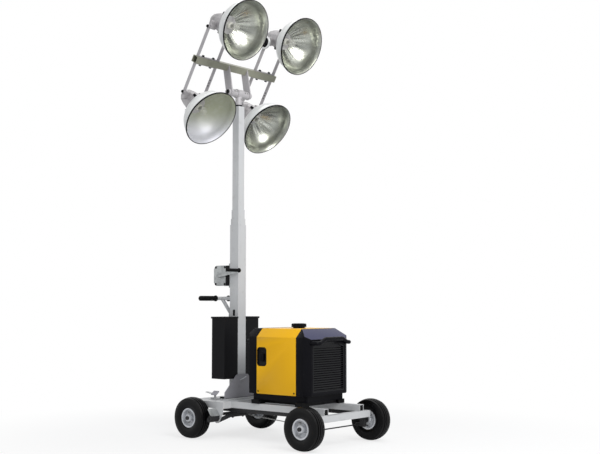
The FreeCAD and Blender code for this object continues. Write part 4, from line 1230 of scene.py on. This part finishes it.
def makeBrake():
    shape = brakeShape
    axis = Vector((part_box("rear_deck")[1].x - shape["behindDeck"], 0, shape["height"]))
    end = shape["end"]
    knee = shape["knee"]
    rise = shape["rise"]
    row = [(-end, 0), (-knee, rise), (knee, rise), (end, 0)]
    under = [(y, z - shape["endDrop"]) for y, z in row]
    over = [(y, z + shape["depth"] - shape["endDrop"]) for y, z in reversed(row)]
    rear = axis.x - shape["thick"] / 2
    outline = [(rear, y, axis.z + z) for y, z in under + over]
    beam = softened(prismAlong(outline, (shape["thick"], 0, 0)), 0.0012)
    near = shape["inner"] - end + 0.004
    far = shape["outer"] - end + 0.004
    sleeve = shape["sleeve"]
    pin = [(0, 0), (0, shape["radius"]), (near, shape["radius"]), (near, sleeve - 0.001),
           (near + 0.001, sleeve), (far - 0.001, sleeve), (far, sleeve - 0.001), (far, 0), (0, 0)]
    for side in (-1, 1):
        start = axis + Vector((0, side * (end - 0.004), shape["sleeveRise"]))
        beam.from_mesh(lathe(pin, 36, axisFrame(start, (0, side, 0), (1, 0, 0))))
        y = span(side, shape["inner"], shape["outer"])
        lug = cutBlock((axis.x, y[0], axis.z + shape["sleeveRise"]),
                       (axis.x + shape["ahead"], y[1], axis.z + shape["lift"] + 0.003))
        beam.from_mesh(meshFrom(lug))
    piece = newPiece("brake_beam", meshFrom(beam), ["darkSteel"], "chassis", 35)
    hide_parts("brake_bar")
    thin = shape["stepHalf"]
    for hand, side in hands:
        y = span(side, shape["inner"], shape["outer"])
        plate = roundedBlock((-thin, y[0], 0), (thin, y[1], shape["step"]), 0, 0.006)
        plate = swung(plate, shape["lean"], "Y", axis + Vector((shape["ahead"], 0, shape["lift"])))
        newPiece("brake_step_" + hand, shaped(plate, 0.0008), ["galvanised"], "chassis", 35)
    yoke = Vector(joints["steer_right"]["pos_m"])
    route = [(axis.x, 0, axis.z + rise), (axis.x + 0.06, -0.02, axis.z + 0.016),
             (yoke.x - 0.004, yoke.y + 0.0325, shape["rodHeight"])]
    tube("brake_pull_rod", route, shape["rod"], "zincSteel", "chassis", 2)
    under = axis.z + rise - shape["endDrop"]
    bolts = [((axis.x, sign * y, under), (0, 0, -1)) for sign in (-1, 1) for y in shape["nuts"]]
    fasteners("brake_bolts", bolts, "chassis", 0.006, "blackSteel", hexTree)


makeBrake()


def makeRunners():
    # A dark flat bar under each rail, from inside the deck to the front cross tube; its run back inside the deck
    # is painted shade
    shape = railShape
    railLow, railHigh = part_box("frame_rails")
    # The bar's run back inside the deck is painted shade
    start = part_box("rear_deck")[1].x - shape["runnerShadeStart"]
    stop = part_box("front_cross_tube")[0].x - 0.0005
    middle = railHigh.y - shape["side"] / 2
    half = shape["runnerHalf"]
    for hand, side in hands:
        y = span(side, middle - half, middle + half)
        bar = cutBlock((start, y[0], railLow.z - shape["runnerHeight"]), (stop, y[1], railLow.z - 0.0002))
        newPiece("rail_runner_" + hand, shaped(bar, 0.0012), ["darkSteel"], "chassis", 35)


makeRunners()

pedalShape = {"place": (-0.3776, -0.188, 0.279), "collar": 0.015, "post": 0.006,
              "half": (0.025, 0.019, 0.0025), "tilt": 38, "leverTilt": 10, "leverDrop": 0.010,
              "lever": ((-0.078, -0.012, -0.002), (-0.020, 0.012, 0.002))}


def makePedal():
    # The foot pedal: a post on a collar, a plate tilted sideways and a short flat lever
    shape = pedalShape
    place = Vector(shape["place"])
    foot = Vector((place.x, place.y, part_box("frame_rails")[1].z))
    height = place.z - foot.z
    post = [(0, 0), (0, shape["collar"]), (0.004, shape["collar"]), (0.005, 0.008), (height, shape["post"]),
            (height, 0), (0, 0)]
    mesh = lathe(post, 28, axisFrame(foot, (0, 0, 1), (1, 0, 0)))
    piece = newPiece("pedal_post", mesh, ["pedalSteel"], "chassis", 30)
    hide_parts("brake_pedal")
    half = Vector(shape["half"])
    plate = swung(roundedBlock(-half, half, 2, 0.005), shape["tilt"], "X", place)
    newPiece("pedal_plate", shaped(plate, 0.0008), ["gussetShadePaint"], "chassis", 35)
    under = place - Vector((0, 0, shape["leverDrop"]))
    lever = swung(cutBlock(*shape["lever"]), shape["leverTilt"], "Y", under)
    newPiece("pedal_lever", shaped(lever, 0.0008), ["framePaint"], "chassis", 35)


makePedal()

shadePanShape = {"endInset": 0.020, "sideInset": 0.050, "overRail": 0.003}


def makeShadePan():
    # A black sheet between the generator's feet: painted shade under the generator
    shape = shadePanShape
    low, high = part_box("generator_base")
    half = high.y - shape["sideInset"]
    pan = cutBlock((low.x + shape["endInset"], -half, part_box("frame_rails")[1].z + shape["overRail"]),
                   (high.x - shape["endInset"], half, low.z + 0.001))
    newPiece("generator_shade_pan", shaped(pan, 0.002), ["blackPaint"], "chassis", 35)


makeShadePan()

holeShadeShape = {"reaches": (0.115, 0.135, 0.155), "side": 0.0905, "radius": 0.0042}


def makeArmHoleShades():
    # Black discs on two of the lower arms: painted shade where their spare adjusting holes are
    low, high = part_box("crossbar")
    centre = (low + high) / 2
    down = Vector((-math.sin(headLean), 0, -math.cos(headLean)))
    places = []
    for hand in (-1, 1):
        for reach in holeShadeShape["reaches"]:
            side = Vector((0, hand * lampHalf + holeShadeShape["side"], 0))
            places.append((centre + down * reach + side, (0, -1, 0)))
    fasteners("arm_hole_shades", places, "tilt_frame", holeShadeShape["radius"], "blackPaint", roundTree,
              1.0, 0.12)


makeArmHoleShades()
print("fittings made")


# Floor, light and camera
stageLook = {"key": 150.0, "fill": 20.0, "top": 55.0, "world": 0.42, "floor": 0.9, "near": 0.72,
             "clear": (0.9, 2.6)}


def makeFloor():
    bpy.ops.mesh.primitive_plane_add(size=60)
    floor = bpy.context.object
    floor.name = "floor"
    f = Finish("floorPaper", (stageLook["floor"],) * 3, 0.9)
    cloud = f.noise(3, 2)
    f.colour(f.mix(cloud * 0.04, (stageLook["floor"],) * 3, (stageLook["floor"] * 0.97,) * 3))
    seen = f.add("ShaderNodeLightPath")
    glow = f.add("ShaderNodeEmission", {}, {"Color": (1, 1, 1, 1), "Strength": 1.0})
    camera = Amount(f, seen.outputs["Is Camera Ray"])
    reach = (f.axis("X") ** 2.0 + f.axis("Y") ** 2.0) ** 0.5
    far = reach.between(*stageLook["clear"])
    # Near the object the floor keeps its shadow, and further out it is plain white
    share = far * (1 - stageLook["near"]) + stageLook["near"]
    blend = f.add("ShaderNodeMixShader", {}, {
        "Fac": camera * share, 1: f.surface.outputs[0], 2: glow.outputs[0]})
    output = next(node for node in f.tree.nodes if node.type == "OUTPUT_MATERIAL")
    f.put(blend.outputs[0], output.inputs[0])
    floor.data.materials.append(f.material)


def makeWorld():
    world = bpy.data.worlds.new("studio")
    bpy.context.scene.world = world
    world.use_nodes = True
    tree = world.node_tree
    tree.nodes.clear()
    soft = addNode(tree, "ShaderNodeBackground", {}, {
        "Color": (0.93, 0.96, 1.0, 1), "Strength": stageLook["world"]})
    white = addNode(tree, "ShaderNodeBackground", {}, {"Color": (1, 1, 1, 1), "Strength": 1.0})
    rays = addNode(tree, "ShaderNodeLightPath").outputs
    seen = rays["Is Camera Ray"]
    for ray in ("Is Transmission Ray", "Is Glossy Ray"):
        seen = addNode(tree, "ShaderNodeMath", {"operation": "MAXIMUM"}, {0: seen, 1: rays[ray]}).outputs[0]
    blend = addNode(tree, "ShaderNodeMixShader", {}, {0: seen, 1: soft.outputs[0], 2: white.outputs[0]})
    addNode(tree, "ShaderNodeOutputWorld", {}, {0: blend.outputs[0]})


def addLamp(name, place, aim, size, power):
    data = bpy.data.lights.new(name, "AREA")
    data.energy = power
    data.size = size
    lamp = linked(name, data)
    lamp.location = place
    lamp.rotation_mode = "QUATERNION"
    lamp.rotation_quaternion = (Vector(aim) - Vector(place)).to_track_quat("-Z", "Y")


# The view: found by fitting a pinhole camera to the tyres and frame edges
view = {"place": (4.350, -4.976, 0.867), "yaw": 39.957, "pitch": 4.163, "focalPixels": 1027.8,
        "widthPixels": 600}


def makeCamera():
    data = bpy.data.cameras.new("view")
    data.sensor_width = 36.0
    data.lens = view["focalPixels"] / view["widthPixels"] * data.sensor_width
    camera = linked("view", data)
    yaw = math.radians(view["yaw"])
    pitch = math.radians(view["pitch"])
    forward = Vector((-math.sin(yaw) * math.cos(pitch), math.cos(yaw) * math.cos(pitch), math.sin(pitch)))
    right = Vector((math.cos(yaw), math.sin(yaw), 0))
    up = right.cross(forward)
    turn = Matrix((right, up, -forward)).transposed().to_4x4()
    camera.matrix_world = Matrix.Translation(Vector(view["place"])) @ turn
    bpy.context.scene.camera = camera


makeFloor()
makeWorld()
addLamp("key", (3.6, -1.2, 3.6), (0, 0, 1.0), 2.6, stageLook["key"])
addLamp("fill", (-1.5, -4.2, 2.4), (0, 0, 1.0), 3.0, stageLook["fill"])
addLamp("top", (0.2, 1.2, 5.2), (0, 0, 1.0), 3.0, stageLook["top"])
makeCamera()
bpy.context.scene.view_settings.view_transform = "Standard"
print("stage set")
